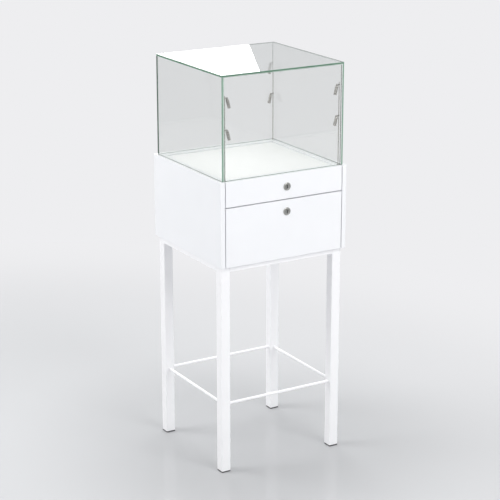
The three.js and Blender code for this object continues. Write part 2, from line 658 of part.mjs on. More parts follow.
// A spot hangs from its pin at the origin: a fork, a finned body and a recessed lens.
function spotGeometry() {
  const earFace = EYE_THICKNESS / 2 + EAR_PLAY;
  const outline = new THREE.Shape();
  outline.absarc(0, 0, EYE_RADIUS, 0, Math.PI);
  outline.lineTo(-EYE_RADIUS, -SPOT_NECK - 1);
  outline.lineTo(EYE_RADIUS, -SPOT_NECK - 1);
  outline.closePath();
  const ears = [earFace, -earFace - EAR].map((y) => upright(outline, EAR, y));
  const pin = rodAlongY(PIN_RADIUS, 2 * (earFace + EAR) - 0.2, 12);
  const top = -SPOT_NECK;
  const end = top - SPOT_LENGTH;
  const fins = FINS.flatMap((n) => {
    const z = top - 8 + n * FIN_PITCH;
    return [
      [SPOT_RADIUS, z],
      [SPOT_RADIUS - FIN_DEPTH, z + 0.1],
      [SPOT_RADIUS - FIN_DEPTH, z + 0.9],
      [SPOT_RADIUS, z + 1],
    ];
  });
  const body = turned([
    [0, end + LENS_INSET],
    [SPOT_RADIUS - 1.2, end + LENS_INSET],
    [SPOT_RADIUS - 0.9, end],
    [SPOT_RADIUS - 0.3, end],
    [SPOT_RADIUS, end + 0.4],
    ...fins,
    [SPOT_RADIUS, top - 1],
    [SPOT_RADIUS - 1, top],
    [0, top],
  ]);
  return join(body, ...ears, pin);
}

const poleToRight = poleGeometry();
const poleToLeft = mirrored(poleToRight);
const spot = spotGeometry();
for (const [corner, { x, y, side }] of Object.entries(POLES)) {
  place(`lamp_pole_${corner}`, side > 0 ? poleToRight : poleToLeft, brushedSpot, x, y, 0);
  for (const [level, height] of Object.entries(ARM_HEIGHTS)) {
    const head = place(`spot_${corner}_${level}`, spot, brushedSpot, x + side * ARM_REACH, y, DECK + height);
    head.rotation.y = -side * THREE.MathUtils.degToRad(SPOT_LEAN);
  }
}

// Driver inside the back panel, with its inlet socket through the panel and a ring nut outside.
function driverGeometry() {
  const outline = roundedRectangle(DRIVER.width, DRIVER.height, DRIVER.corner);
  const housing = upright(outline, DRIVER.depth, BACK_FACE - DRIVER.depth, 1);
  const face = BOARD + BEZEL;
  const floor = face - INLET_DEPTH;
  const nose = turnedAlongDepth(
    [
      [0, -2],
      [INLET_RADIUS, -2],
      [INLET_RADIUS, BOARD],
      [INLET_FLANGE_RADIUS, BOARD],
      [INLET_FLANGE_RADIUS, BOARD + 2],
      [INLET_FLANGE_RADIUS - 1, face],
      [INLET_BORE, face],
      [INLET_BORE, floor],
      [INLET_PIN, floor],
      [INLET_PIN, face - 2],
      [0, face - 1.5],
    ],
    20,
  ).translate(0, BACK_FACE, 0);
  return join(housing, nose);
}

place("lamp_driver", driverGeometry(), greyPlastic, 0, 0, INLET_Z);

export default part;
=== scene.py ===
"""The pedestal display case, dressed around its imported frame.

A steel leg frame carries a lacquered cabinet with a drawer and a pull-out deck. Five panes of float glass stand on
it, the front one on the deck. Each class below dresses one sub-assembly: it gives the frame's own solids their finish
and makes the fine pieces that the solids leave out. Metres, +Z up, the front faces -Y.
"""

import logging
import math
from dataclasses import dataclass
from enum import Enum, StrEnum
from typing import Callable, Iterable, Sequence

import bmesh
import bpy
from mathutils import Matrix, Vector


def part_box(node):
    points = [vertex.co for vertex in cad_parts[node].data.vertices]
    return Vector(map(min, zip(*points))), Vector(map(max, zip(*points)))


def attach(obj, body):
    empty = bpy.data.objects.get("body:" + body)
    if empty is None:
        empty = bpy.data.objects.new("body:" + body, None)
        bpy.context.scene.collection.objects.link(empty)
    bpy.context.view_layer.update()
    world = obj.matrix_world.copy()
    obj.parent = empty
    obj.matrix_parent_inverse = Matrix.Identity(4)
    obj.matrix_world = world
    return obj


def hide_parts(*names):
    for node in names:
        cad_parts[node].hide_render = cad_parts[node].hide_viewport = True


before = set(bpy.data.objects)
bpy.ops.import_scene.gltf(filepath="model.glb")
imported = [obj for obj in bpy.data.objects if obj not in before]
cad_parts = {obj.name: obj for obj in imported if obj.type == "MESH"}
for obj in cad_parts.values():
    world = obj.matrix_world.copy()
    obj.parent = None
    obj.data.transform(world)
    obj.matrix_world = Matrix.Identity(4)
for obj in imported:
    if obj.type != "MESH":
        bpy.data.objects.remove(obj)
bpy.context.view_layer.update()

LOG = logging.getLogger("display_case")
MM = 0.001
CRISP = 32.0
# Where nearly all of a noise texture's values lie.
GRAIN_RANGE = (0.3, 0.7)
ENDS, SIDES = ("front", "back"), ("left", "right")
# The name of each side and its sign in X.
HANDS = (("left", -1), ("right", 1))
LEVELS = ("low", "high")
Pair = tuple[float, float]
Triple = tuple[float, float, float]
Profile = Sequence[Pair]
Node, Tree, Socket = bpy.types.Node, bpy.types.NodeTree, bpy.types.NodeSocket
Mesh, Object, Shape = bpy.types.Mesh, bpy.types.Object, bmesh.types.BMesh


class Body(StrEnum):
    """The bodies of the frame that pieces ride on."""

    CASE = "case"
    MIDDLES = "deck_slide_middles"
    DECK = "deck"
    DECK_LOCK = "deck_lock"
    DRAWER = "drawer"
    DRAWER_LOCK = "drawer_lock"


class Corner(StrEnum):
    """The corners of the deck that carry a lamp pole."""

    FRONT_LEFT = "front_left"
    FRONT_RIGHT = "front_right"
    BACK_RIGHT = "back_right"


class Way(Enum):
    """Where the +Z of a piece is turned: degrees and the axis to turn about."""

    UP = (0, "X")
    BACK = (-90, "X")
    FRONT = (90, "X")
    RIGHT = (90, "Y")
    LEFT = (-90, "Y")


# --------------------------------------------------------------------------------------------- nodes


def srgb(code: str) -> tuple[float, float, float, float]:
    """Turns an sRGB hex colour into linear RGBA.

    Args:
        code: Six hex digits, with or without a leading #.

    Returns:
        Red, green, blue and an alpha of 1, linear.
    """
    digits = code.lstrip("#")
    shares = [int(digits[i : i + 2], 16) / 255 for i in (0, 2, 4)]
    linear = [s / 12.92 if s <= 0.04045 else ((s + 0.055) / 1.055) ** 2.4 for s in shares]
    return (*linear, 1.0)


def add_node(tree: Tree, kind: str, inputs: dict | None = None, **settings) -> Node:
    """Adds a node with its settings, values and links.

    Args:
        tree: The tree that gets the node.
        kind: The node's type name.
        inputs: Input name or index to a value, to the socket that feeds it, or to the node whose first output does.
        **settings: The node's own properties.

    Returns:
        The new node.
    """
    node = tree.nodes.new(kind)
    for name, value in settings.items():
        setattr(node, name, value)
    for key, value in (inputs or {}).items():
        source = value.outputs[0] if isinstance(value, Node) else value
        if isinstance(source, Socket):
            tree.links.new(source, node.inputs[key])
        else:
            node.inputs[key].default_value = source
    return node


# ------------------------------------------------------------------------------------------ finishes


@dataclass(frozen=True)
class Finish:
    """What a surface is made of and how it was made. A subclass adds its pattern in `dress`."""

    name: str
    slot: str
    colour: str
    roughness: float
    metallic: float = 0.0
    ior: float = 1.5

    def material(self) -> bpy.types.Material:
        """Returns this finish as a material, made at the first call."""
        found = bpy.data.materials.get(self.name)
        if found is not None:
            return found
        made = bpy.data.materials.new(self.name)
        made.use_nodes = True
        tree = made.node_tree
        tree.nodes.clear()
        values = {"Base Color": srgb(self.colour), "Roughness": self.roughness, "Metallic": self.metallic}
        if not self.metallic:
            values["IOR"] = self.ior
        shader = add_node(tree, "ShaderNodeBsdfPrincipled", values)
        out = add_node(tree, "ShaderNodeOutputMaterial", {"Surface": shader})
        self.dress(tree, shader, out)
        return made

    def dress(self, tree: Tree, shader: Node, out: Node) -> None:
        """Adds the finish's pattern to its shader. The plain finish has none.

        Args:
            tree: The material's tree.
            shader: The shader of the surface.
            out: The material's output.
        """

    def grain(self, tree: Tree, spacing_mm: float | Triple, detail: float = 2.0) -> Node:
        """Gives an even random grain in the object's own coordinates.

        Args:
            tree: The material's tree.
            spacing_mm: Distance from grain to grain, one value or one for each axis.
            detail: Octaves of finer grain.

        Returns:
            The grain, from 0 to 1.
        """
        spacing = spacing_mm if isinstance(spacing_mm, tuple) else (spacing_mm,) * 3
        place = add_node(tree, "ShaderNodeTexCoord").outputs["Object"]
        scale = tuple(1 / (s * MM) for s in spacing)
        mapping = add_node(tree, "ShaderNodeMapping", {"Vector": place, "Scale": scale})
        return add_node(tree, "ShaderNodeTexNoise", {"Vector": mapping, "Scale": 1.0, "Detail": detail})

    def between(self, tree: Tree, grain: Node, low: float = 0.0, high: float = 1.0) -> Node:
        """Spreads a grain's middle range over two values.

        Args:
            tree: The material's tree.
            grain: The grain.
            low: The value at the grain's low end.
            high: The value at its high end.

        Returns:
            The spread value.
        """
        first, last = GRAIN_RANGE
        spread = {"Value": grain, "From Min": first, "From Max": last, "To Min": low, "To Max": high}
        return add_node(tree, "ShaderNodeMapRange", spread)

    def tint(self, tree: Tree, shader: Node, share: Node, other: str) -> Socket:
        """Lets the colour drift towards another one.

        Args:
            tree: The material's tree.
            shader: The shader whose base colour drifts.
            share: How far, from 0 to 1.
            other: The other colour, as sRGB hex.

        Returns:
            The drifting colour.
        """
        mix = add_node(tree, "ShaderNodeMix", {0: share, 6: srgb(self.colour), 7: srgb(other)}, data_type="RGBA")
        tree.links.new(mix.outputs[2], shader.inputs["Base Color"])
        return mix.outputs[2]

    def emboss(self, tree: Tree, shader: Node, height: Node, depth_mm: float) -> None:
        """Presses a height pattern into the surface.

        Args:
            tree: The material's tree.
            shader: The shader whose normal is bent.
            height: The pattern, from 0 to 1.
            depth_mm: The relief's depth.
        """
        bump = add_node(tree, "ShaderNodeBump", {"Height": height, "Strength": 1.0, "Distance": depth_mm * MM})
        tree.links.new(bump.outputs[0], shader.inputs["Normal"])


@dataclass(frozen=True)
class SprayedLacquer(Finish):
    """Two-pack polyurethane lacquer sprayed on board. The eye gets a clean cool white with a soft sheen, and a faint
    orange peel that breaks up the reflections."""

    warm: str = "#F3F4F7"
    cloud_mm: float = 140.0
    sheen_mm: float = 60.0
    sheen_spread: float = 0.02
    peel_mm: float = 2.2
    peel_depth_mm: float = 0.0015

    def dress(self, tree: Tree, shader: Node, out: Node) -> None:
        """Adds the clouding of the coat, its uneven sheen and the orange peel."""
        self.tint(tree, shader, self.between(tree, self.grain(tree, self.cloud_mm)), self.warm)
        uneven = self.grain(tree, self.sheen_mm, 0.0)
        sheen = self.between(tree, uneven, self.roughness, self.roughness + self.sheen_spread)
        tree.links.new(sheen.outputs[0], shader.inputs["Roughness"])
        self.emboss(tree, shader, self.grain(tree, self.peel_mm, 1.0), self.peel_depth_mm)


@dataclass(frozen=True)
class GrainedFinish(Finish):
    """A finish with one fine grain all over. The grain presses into the surface and spreads its gloss, and the colour
    clouds slowly towards another one."""

    other: str = "#F9F9FB"
    cloud_mm: float = 90.0
    grain_mm: float | Triple = 1.1
    detail: float = 1.5
    depth_mm: float = 0.004
    gloss: Pair = (-0.05, 0.07)

    def pattern(self, tree: Tree) -> Node:
        """Gives the fine grain."""
        return self.grain(tree, self.grain_mm, self.detail)

    def dress(self, tree: Tree, shader: Node, out: Node) -> None:
        """Adds the clouding, the spread of gloss and the relief."""
        fine = self.pattern(tree)
        low, high = self.gloss
        gloss = self.between(tree, fine, self.roughness + low, self.roughness + high)
        tree.links.new(gloss.outputs[0], shader.inputs["Roughness"])
        self.tint(tree, shader, self.between(tree, self.grain(tree, self.cloud_mm)), self.other)
        self.emboss(tree, shader, fine, self.depth_mm)


@dataclass(frozen=True)
class MouldedPlastic(GrainedFinish):
    """Injection-moulded plastic with a spark-eroded grain: matt, with a faint speckle in the light and a slightly
    paler bloom in random patches."""

    other: str = "#2A2A2C"
    cloud_mm: float = 14.0
    grain_mm: float | Triple = 0.7
    detail: float = 3.0
    depth_mm: float = 0.03
    gloss: Pair = (-0.08, 0.1)


@dataclass(frozen=True)
class StampedSteel(GrainedFinish):
    """Plated steel, stamped from sheet and tumbled: an even satin grey with small scuffs."""

    other: str = "#9DA09F"
    cloud_mm: float = 8.0
    grain_mm: float | Triple = 0.6
    detail: float = 4.0
    depth_mm: float = 0.008
    gloss: Pair = (-0.1, 0.14)


@dataclass(frozen=True)
class TurnedMetal(GrainedFinish):
    """Metal turned on a lathe, then plated or anodised. The tool leaves fine rings round the axis, which stretch the
    highlights across them. The rings follow the piece's own `along` attribute, its distance along the profile."""

    cloud_mm: float = 6.0
    grain_mm: float = 0.35
    detail: float = 2.0
    depth_mm: float = 0.006
    gloss: Pair = (-0.08, 0.1)

    def pattern(self, tree: Tree) -> Node:
        """Gives the turning rings."""
        along = add_node(tree, "ShaderNodeAttribute", attribute_name="along").outputs["Fac"]
        pitch = add_node(tree, "ShaderNodeMath", {0: along, 1: 1 / (self.grain_mm * MM)}, operation="MULTIPLY")
        rings = {"W": pitch, "Scale": 1.0, "Detail": self.detail}
        return add_node(tree, "ShaderNodeTexNoise", rings, noise_dimensions="1D")


@dataclass(frozen=True)
class FloatGlass(Finish):
    """Clear float glass with polished edges. Iron in the melt takes red first, so a pane looks clear through its
    thickness with a breath of grey-green, and deep green where the eye looks along it into an edge."""

    absorbed: tuple[float, float, float, float] = (0.09, 0.17, 0.12, 1.0)
    density: float = 13.0
    shadow: str = "#F9FAF9"
    draw_mm: float = 70.0
    draw_depth_mm: float = 0.006

    def dress(self, tree: Tree, shader: Node, out: Node) -> None:
        """Adds the iron's tint in the thickness and the draw of the float line, and lets lamps through."""
        shader.inputs["Transmission Weight"].default_value = 1.0
        self.emboss(tree, shader, self.grain(tree, self.draw_mm, 0.0), self.draw_depth_mm)
        paths = add_node(tree, "ShaderNodeLightPath").outputs
        rays = {0: paths["Is Shadow Ray"], 1: paths["Is Diffuse Ray"]}
        straight = add_node(tree, "ShaderNodeMath", rays, operation="MAXIMUM")
        clear = add_node(tree, "ShaderNodeBsdfTransparent", {"Color": srgb(self.shadow)})
        mix = add_node(tree, "ShaderNodeMixShader", {0: straight, 1: shader, 2: clear})
        tree.links.new(mix.outputs[0], out.inputs["Surface"])
        iron = add_node(tree, "ShaderNodeVolumeAbsorption", {"Color": self.absorbed, "Density": self.density})
        tree.links.new(iron.outputs[0], out.inputs["Volume"])


@dataclass(frozen=True)
class PolishedEdge(Finish):
    """The polished edge of float glass. Here the eye looks half a metre deep along the pane, and the iron leaves a
    sea green that is deeper in some places than in others, under a glassy gloss. Its inner side, seen through the
    glass, is painted a darker green as shade."""

    deep: str = "#547863"
    # Painted shade: the darker green given to the edge's inner side.
    painted_shade_inside: str = "#35503F"
    stretch_mm: float = 45.0

    def dress(self, tree: Tree, shader: Node, out: Node) -> None:
        """Adds the deeper and paler stretches along the edge, and a darker green painted on the edge's inner side as
        shade, where it is seen through the glass.
        """
        outside = self.tint(tree, shader, self.between(tree, self.grain(tree, self.stretch_mm)), self.deep)
        back = add_node(tree, "ShaderNodeNewGeometry").outputs["Backfacing"]
        seen = add_node(tree, "ShaderNodeMix", {0: back, 6: outside, 7: srgb(self.painted_shade_inside)}, data_type="RGBA")
        tree.links.new(seen.outputs[2], shader.inputs["Base Color"])


@dataclass(frozen=True)
class FrostedLens(Finish):
    """Frosted acrylic over a small lamp chip, unlit: milky, with a patchy yellow cast from the chip's phosphor."""

    chip: str = "#E8D9A0"
    cast: float = 0.5
    milk: float = 0.3
    frost_mm: float = 0.4
    frost_depth_mm: float = 0.02

    def dress(self, tree: Tree, shader: Node, out: Node) -> None:
        """Adds the frosting."""
        frost = self.grain(tree, self.frost_mm)
        self.tint(tree, shader, self.between(tree, frost, 0.0, self.cast), self.chip)
        shader.inputs["Subsurface Weight"].default_value = self.milk
        shader.inputs["Subsurface Scale"].default_value = 1 * MM
        self.emboss(tree, shader, frost, self.frost_depth_mm)


LACQUER = SprayedLacquer("sprayed_white_lacquer", "white_lacquer", "#F5F6F9", 0.3)
# Polyester powder baked on steel: a little rougher than lacquer, with fine pebbles that read as a dry, even white.
COAT = GrainedFinish("white_powder_coat", "powder_coat", "#FBFBFD", 0.42)
EPOXY = GrainedFinish("white_epoxy_coat", "slide_white", "#EDEDEC", 0.4, grain_mm=0.9)
# White melamine on board. The press plate leaves a fine pearl that takes the shine off.
BOARD = GrainedFinish(
    "white_melamine", "white_board", "#FAF9FA", 0.5, other="#F7F6F7", cloud_mm=60.0, grain_mm=1.6, detail=0.0,
    depth_mm=0.01, gloss=(-0.06, 0.06),
)
# Bright zinc on rolled strip. Rolling lines run along the slide, and the plate clouds from bluish to warmer grey.
ZINC = GrainedFinish(
    "rolled_zinc_steel", "slide_steel", "#BFC3C6", 0.34, 1.0, other="#A8ABA9", cloud_mm=18.0,
    grain_mm=(0.5, 60.0, 0.5), detail=3.0, depth_mm=0.01, gloss=(-0.1, 0.12),
)
GLIDE = MouldedPlastic("black_moulded_plastic", "glide_plastic", "#17171A", 0.55)
ROLLER = MouldedPlastic("white_nylon", "slide_white", "#E9E8E2", 0.45, other="#DCDAD2")
DRIVER_CASE = MouldedPlastic("grey_moulded_abs", "driver_plastic", "#5A5D61", 0.5, other="#6A6D71")
# Painted shade: a near-black block in the keyway that stands for the shade inside the key slot.
KEYWAY_SHADE = MouldedPlastic("painted_keyway_shade", "lock_nickel", "#08080A", 0.7, other="#0C0C0E")
NICKEL = TurnedMetal("satin_nickel", "lock_nickel", "#DAD8D5", 0.26, 1.0, other="#BAB7B2")
ANODISED = TurnedMetal("satin_anodised_aluminium", "lamp_metal", "#C2C0BC", 0.28, 1.0, other="#A5A29D")
STAMPED = StampedSteel("stamped_zinc_steel", "cam_steel", "#BBBFC1", 0.38, 1.0)
CHROME = StampedSteel("polished_chrome_steel", "slide_steel", "#D4D6D8", 0.14, 1.0, other="#C6C9CC")
GLASS = FloatGlass("clear_float_glass", "clear_glass", "#FFFFFF", 0.0, ior=1.52)
EDGE = PolishedEdge("polished_glass_edge", "clear_glass", "#658673", 0.06, ior=1.52)
# Painted light: lighter copies of the polished edge for the front edges of the upright panes and the ends of the
# front pane.
LIT_FRONT_EDGE = PolishedEdge("bright_glass_edge", "clear_glass", "#85A493", 0.06, ior=1.52, deep="#7C9B8A")
LIT_PANE_END = PolishedEdge("pale_glass_end", "clear_glass", "#D6E8DE", 0.06, ior=1.52, deep="#C9DDD2")
ARRIS = PolishedEdge("ground_glass_arris", "clear_glass", "#B4C6BC", 0.3, ior=1.52, deep="#A3B8AD")
# Painted shade: the foot edge of an upright pane, painted a dark green-grey as the shade of the joint it stands on.
SHADED_FOOT_EDGE = PolishedEdge("seated_glass_edge", "clear_glass", "#3C4541", 0.3, ior=1.52, deep="#333B37")
LENS = FrostedLens("frosted_acrylic", "lamp_metal", "#EDEBE2", 0.35)


# -------------------------------------------------------------------------------------------- meshes


def link(name: str, data: bpy.types.ID | None) -> Object:
    """Puts a mesh, curve, lamp or camera in the scene as an object at the origin and returns it."""
    made = bpy.data.objects.new(name, data)
    bpy.context.scene.collection.objects.link(made)
    return made


def evaluated(carrier: Object) -> Mesh:
    """Gives an object's evaluated shape as a plain mesh of its own."""
    bpy.context.view_layer.update()
    return bpy.data.meshes.new_from_object(carrier.evaluated_get(bpy.context.evaluated_depsgraph_get()))


def smooth(mesh: Mesh, angle: float = CRISP) -> None:
    """Shades a mesh smooth, with edges sharper than the angle in degrees kept crisp."""
    mesh.shade_smooth()
    mesh.set_sharp_from_angle(angle=math.radians(angle))


def finished(shape: Shape, name: str, finish: Finish, angle: float = CRISP) -> Object:
    """Closes a shape's seams, turns its faces outwards and makes it an object.

    Args:
        shape: The shape, freed here.
        name: The object's name.
        finish: Its finish.
        angle: Edges sharper than this many degrees stay crisp.

    Returns:
        The object.
    """
    bmesh.ops.remove_doubles(shape, verts=shape.verts, dist=1e-7)
    bmesh.ops.recalc_face_normals(shape, faces=shape.faces)
    mesh = bpy.data.meshes.new(name)
    shape.to_mesh(mesh)
    shape.free()
    mesh.materials.append(finish.material())
    smooth(mesh, angle)
    return link(name, mesh)


def placed(x: float, y: float, z: float, way: Way = Way.UP) -> Matrix:
    """Places a piece made about +Z at the origin: turns it a way, then moves it to a point in millimetres."""
    degrees, axis = way.value
    return Matrix.Translation(Vector((x, y, z)) * MM) @ Matrix.Rotation(math.radians(degrees), 4, axis)


def lathe(profile: Profile, segments: int, place: Matrix) -> Shape:
    """Turns a profile about its height axis.

    Args:
        profile: Radius and height pairs in millimetres. It starts and ends on the axis, or closes on itself.
        segments: Faces round the axis.
        place: Where the turned piece goes. It is made about +Z at the origin.

    Returns:
        The turned shape, with each vertex's distance along the profile as `along`.
    """
    shape = bmesh.new()
    along = shape.verts.layers.float.new("along")
    rings = []
    travelled = 0.0
    for i, (radius, height) in enumerate(profile):
        if i:
            travelled += math.dist(profile[i - 1], (radius, height)) * MM
        ring = []
        for k in range(segments if radius > 1e-6 else 1):
            turn = 2 * math.pi * k / segments
            point = Vector((radius * math.cos(turn), radius * math.sin(turn), height)) * MM
            vertex = shape.verts.new(place @ point)
            vertex[along] = travelled
            ring.append(vertex)
        rings.append(ring)
    for lower, upper in zip(rings, rings[1:]):
        for k in range(segments):
            around = [lower[k % len(lower)], lower[(k + 1) % len(lower)]]
            around += [upper[(k + 1) % len(upper)], upper[k % len(upper)]]
            corners = list(dict.fromkeys(around))
            if len(corners) > 2:
                shape.faces.new(corners)
    return shape


def round_bar(radius: float, start: float, end: float) -> Profile:
    """Gives the profile of a plain round bar."""
    return [(0, start), (radius, start), (radius, end), (0, end)]


def block(
    shape: Shape, low: Sequence[float], high: Sequence[float], bevel: float, segments: int = 2
) -> Shape:
    """Adds a box with eased edges to a shape.

    Args:
        shape: Gets the box.
        low: Its lowest corner, in millimetres.
        high: Its highest corner.
        bevel: How far the edges are eased, in millimetres.
        segments: 1 for a flat arris, 2 for a round edge.

    Returns:
        The shape.
    """
    low, high = Vector(low) * MM, Vector(high) * MM
    place = Matrix.Translation((low + high) / 2) @ Matrix.Diagonal((*(high - low), 1))
    corners = bmesh.ops.create_cube(shape, size=1.0, matrix=place)["verts"]
    edges = list({edge for corner in corners for edge in corner.link_edges})
    bmesh.ops.bevel(shape, geom=edges, offset=bevel * MM, segments=segments, profile=0.5, affect="EDGES")
    return shape


def prism(shape: Shape, outlines: Sequence[Profile], length: float, place: Matrix) -> Shape:
    """Adds a straight bar or tube to a shape.

    Args:
        shape: Gets the bar.
        outlines: The section's closed outlines in millimetres: the outer one and, for a tube, the inner one with as
            many points.
        length: The bar's length in millimetres.
        place: Where it goes. The section lies in XY at the origin and the bar runs towards +Z.

    Returns:
        The shape.
    """
    ends = []
    for outline in outlines:
        rings = [[shape.verts.new(place @ (Vector((x, y, z)) * MM)) for x, y in outline] for z in (0.0, length)]
        for k in range(len(outline)):
            after = (k + 1) % len(outline)
            shape.faces.new((rings[0][k], rings[0][after], rings[1][after], rings[1][k]))
        ends.append(rings)
    for side in (0, 1):
        if len(outlines) == 1:
            shape.faces.new(ends[0][side])
            continue
        outer, inner = ends[0][side], ends[1][side]
        for k in range(len(outer)):
            after = (k + 1) % len(outer)
            shape.faces.new((outer[k], outer[after], inner[after], inner[k]))
    return shape


def rounded(outline: Profile, radius: float, steps: int = 3) -> Profile:
    """Rounds the corners of a closed outline.

    Args:
        outline: The corners in millimetres.
        radius: The corner radius, made smaller where an edge is too short for it.
        steps: Steps round a corner.

    Returns:
        The rounded outline.
    """
    result = []
    for i, corner in enumerate(outline):
        here, before, after = Vector(corner), Vector(outline[i - 1]), Vector(outline[(i + 1) % len(outline)])
        back, on = before - here, after - here
        reach = min(radius, 0.48 * back.length, 0.48 * on.length)
        start, end = here + back.normalized() * reach, here + on.normalized() * reach
        for t in (k / steps for k in range(steps + 1)):
            point = start * (1 - t) ** 2 + here * (2 * t * (1 - t)) + end * t**2
            result.append((point.x, point.y))
    return result


def rectangle(width: float, height: float) -> Profile:
    """Gives the corners of a rectangle round the origin."""
    return [(sx * width / 2, sy * height / 2) for sx, sy in ((-1, -1), (1, -1), (1, 1), (-1, 1))]


def arc(x: float, y: float, radius: float, start: float, end: float, steps: int) -> Profile:
    """Gives points on an arc about x, y, from and to an angle in degrees."""
    turns = [math.radians(start + (end - start) * i / steps) for i in range(steps + 1)]
    return [(x + radius * math.cos(t), y + radius * math.sin(t)) for t in turns]


def circle(radius: float, steps: int, x: float = 0.0) -> Profile:
    """Gives points round a circle about x, 0."""
    return arc(x, 0.0, radius, 0, 360 - 360 / steps, steps - 1)


def plate(outlines: Sequence[Profile], thickness: float, bevel: float, place: Matrix) -> Shape:
    """Makes a flat plate with holes and eased edges from closed outlines, as a filled curve turned to a mesh.

    Args:
        outlines: Closed outlines in millimetres, the outer one first and then the holes.
        thickness: The plate's thickness in millimetres.
        bevel: The eased edge in millimetres.
        place: Where the plate goes. It is made in XY, centred on its thickness.

    Returns:
        The shape.
    """
    curve = bpy.data.curves.new("plate", "CURVE")
    curve.dimensions = "2D"
    curve.fill_mode = "BOTH"
    curve.extrude = (thickness / 2 - bevel) * MM
    curve.bevel_depth = bevel * MM
    curve.offset = -bevel * MM
    curve.bevel_resolution = 1
    for outline in outlines:
        spline = curve.splines.new("POLY")
        spline.points.add(len(outline) - 1)
        for point, (x, y) in zip(spline.points, outline):
            point.co = (x * MM, y * MM, 0, 1)
        spline.use_cyclic_u = True
    drawn = link("plate", curve)
    mesh = evaluated(drawn)
    bpy.data.objects.remove(drawn)
    bpy.data.curves.remove(curve)
    mesh.transform(place)
    shape = bmesh.new()
    shape.from_mesh(mesh)
    bpy.data.meshes.remove(mesh)
    return shape


# ------------------------------------------------------------------------------------ geometry nodes


Given = dict[str, Socket]
# The cross recess of a screw: its length and width by the head's radius, and its depth by the head's height.
RECESS = (1.1, 0.26, 1.2)
# How much a weld bead swells at each ripple.
RIPPLE = 0.14


@dataclass
class Pattern:
    """A Geometry Nodes tree that repeats a small part, and the call that turns its result into a mesh."""

    name: str
    sizes: dict[str, float | Triple]
    build: Callable[[Tree, Given], Node]
    tree: Tree | None = None

    def made(self) -> Tree:
        """Returns the tree, made at the first call. It ends in Realize Instances and Set Material."""
        if self.tree is not None:
            return self.tree
        tree = bpy.data.node_groups.new(self.name, "GeometryNodeTree")
        face = tree.interface
        face.new_socket("Geometry", in_out="INPUT", socket_type="NodeSocketGeometry")
        for name, value in self.sizes.items():
            kind = "Vector" if isinstance(value, tuple) else "Float"
            face.new_socket(name, in_out="INPUT", socket_type=f"NodeSocket{kind}").default_value = value
        face.new_socket("Finish", in_out="INPUT", socket_type="NodeSocketMaterial")
        face.new_socket("Geometry", in_out="OUTPUT", socket_type="NodeSocketGeometry")
        entry = add_node(tree, "NodeGroupInput")
        result = self.build(tree, {s.name: s for s in entry.outputs if s.name})
        real = add_node(tree, "GeometryNodeRealizeInstances", {"Geometry": result})
        dressed = add_node(tree, "GeometryNodeSetMaterial", {"Geometry": real, "Material": entry.outputs["Finish"]})
        add_node(tree, "NodeGroupOutput", {"Geometry": dressed})
        self.tree = tree
        return tree

    def repeat(self, name: str, seeds: Mesh, finish: Finish, **values: float | Triple) -> Object:
        """Runs the tree on a mesh of points or lines.

        Args:
            name: The new object's name.
            seeds: The mesh that the tree repeats its part on. It is used up.
            finish: The finish of the repeated part.
            **values: Input values by name, with _ for a space and lengths in millimetres.

        Returns:
            The repeated part as one plain mesh object.
        """
        carrier = link(name + "_seeds", seeds)
        modifier = carrier.modifiers.new("pattern", "NODES")
        modifier.node_group = self.made()
        chosen = {k.replace("_", " "): v if isinstance(v, tuple) else v * MM for k, v in values.items()}
        chosen["Finish"] = finish.material()
        for item in self.made().interface.items_tree:
            if item.in_out == "INPUT" and item.name in chosen:
                modifier[item.identifier] = chosen[item.name]
        mesh = evaluated(carrier)
        carrier.modifiers.remove(modifier)
        bpy.data.objects.remove(carrier)
        bpy.data.meshes.remove(seeds)
        mesh.name = name
        smooth(mesh)
        return link(name, mesh)


def seed_mesh(places: Iterable[Sequence[float]], joined: bool = False) -> Mesh:
    """Makes the mesh that a pattern repeats its part on.

    Args:
        places: Points in millimetres.
        joined: Whether each two points are the ends of a line.

    Returns:
        The mesh of loose points or separate lines.
    """
    mesh = bpy.data.meshes.new("seeds")
    vertices = [tuple(c * MM for c in place) for place in places]
    mesh.from_pydata(vertices, [(i, i + 1) for i in range(0, len(vertices), 2)] if joined else [], [])
    return mesh


def at_points(tree: Tree, given: Given, part: Node) -> Node:
    """Puts a part on each point, its +Z turned along Axis."""
    facing = add_node(tree, "FunctionNodeAlignRotationToVector", {"Vector": given["Axis"]}, axis="Z")
    placing = {"Points": given["Geometry"], "Instance": part, "Rotation": facing}
    return add_node(tree, "GeometryNodeInstanceOnPoints", placing)


def build_screws(tree: Tree, given: Given) -> Node:
    """Builds a pan head with a cross recess at each point, facing along Axis.

    Args:
        tree: The tree to build in.
        given: The tree's inputs by name.

    Returns:
        The instances.
    """
    radius, height = given["Radius"], given["Height"]
    dome = add_node(tree, "GeometryNodeMeshUVSphere", {"Segments": 20, "Rings": 10, "Radius": 1.0})
    flat = add_node(tree, "ShaderNodeCombineXYZ", {"X": radius, "Y": radius, "Z": height})
    cut = add_node(tree, "GeometryNodeTransform", {"Geometry": dome, "Scale": flat})
    long, thin, deep = (
        add_node(tree, "ShaderNodeMath", {0: by, 1: share}, operation="MULTIPLY")
        for by, share in zip((radius, radius, height), RECESS)
    )
    lift = add_node(tree, "ShaderNodeCombineXYZ", {"Z": height})
    for across, down in ((long, thin), (thin, long)):
        size = add_node(tree, "ShaderNodeCombineXYZ", {"X": across, "Y": down, "Z": deep})
        bar = add_node(tree, "GeometryNodeMeshCube", {"Size": size})
        raised = add_node(tree, "GeometryNodeTransform", {"Geometry": bar, "Translation": lift})
        cut = add_node(tree, "GeometryNodeMeshBoolean", {"Mesh 1": cut, "Mesh 2": raised})
    return at_points(tree, given, cut)


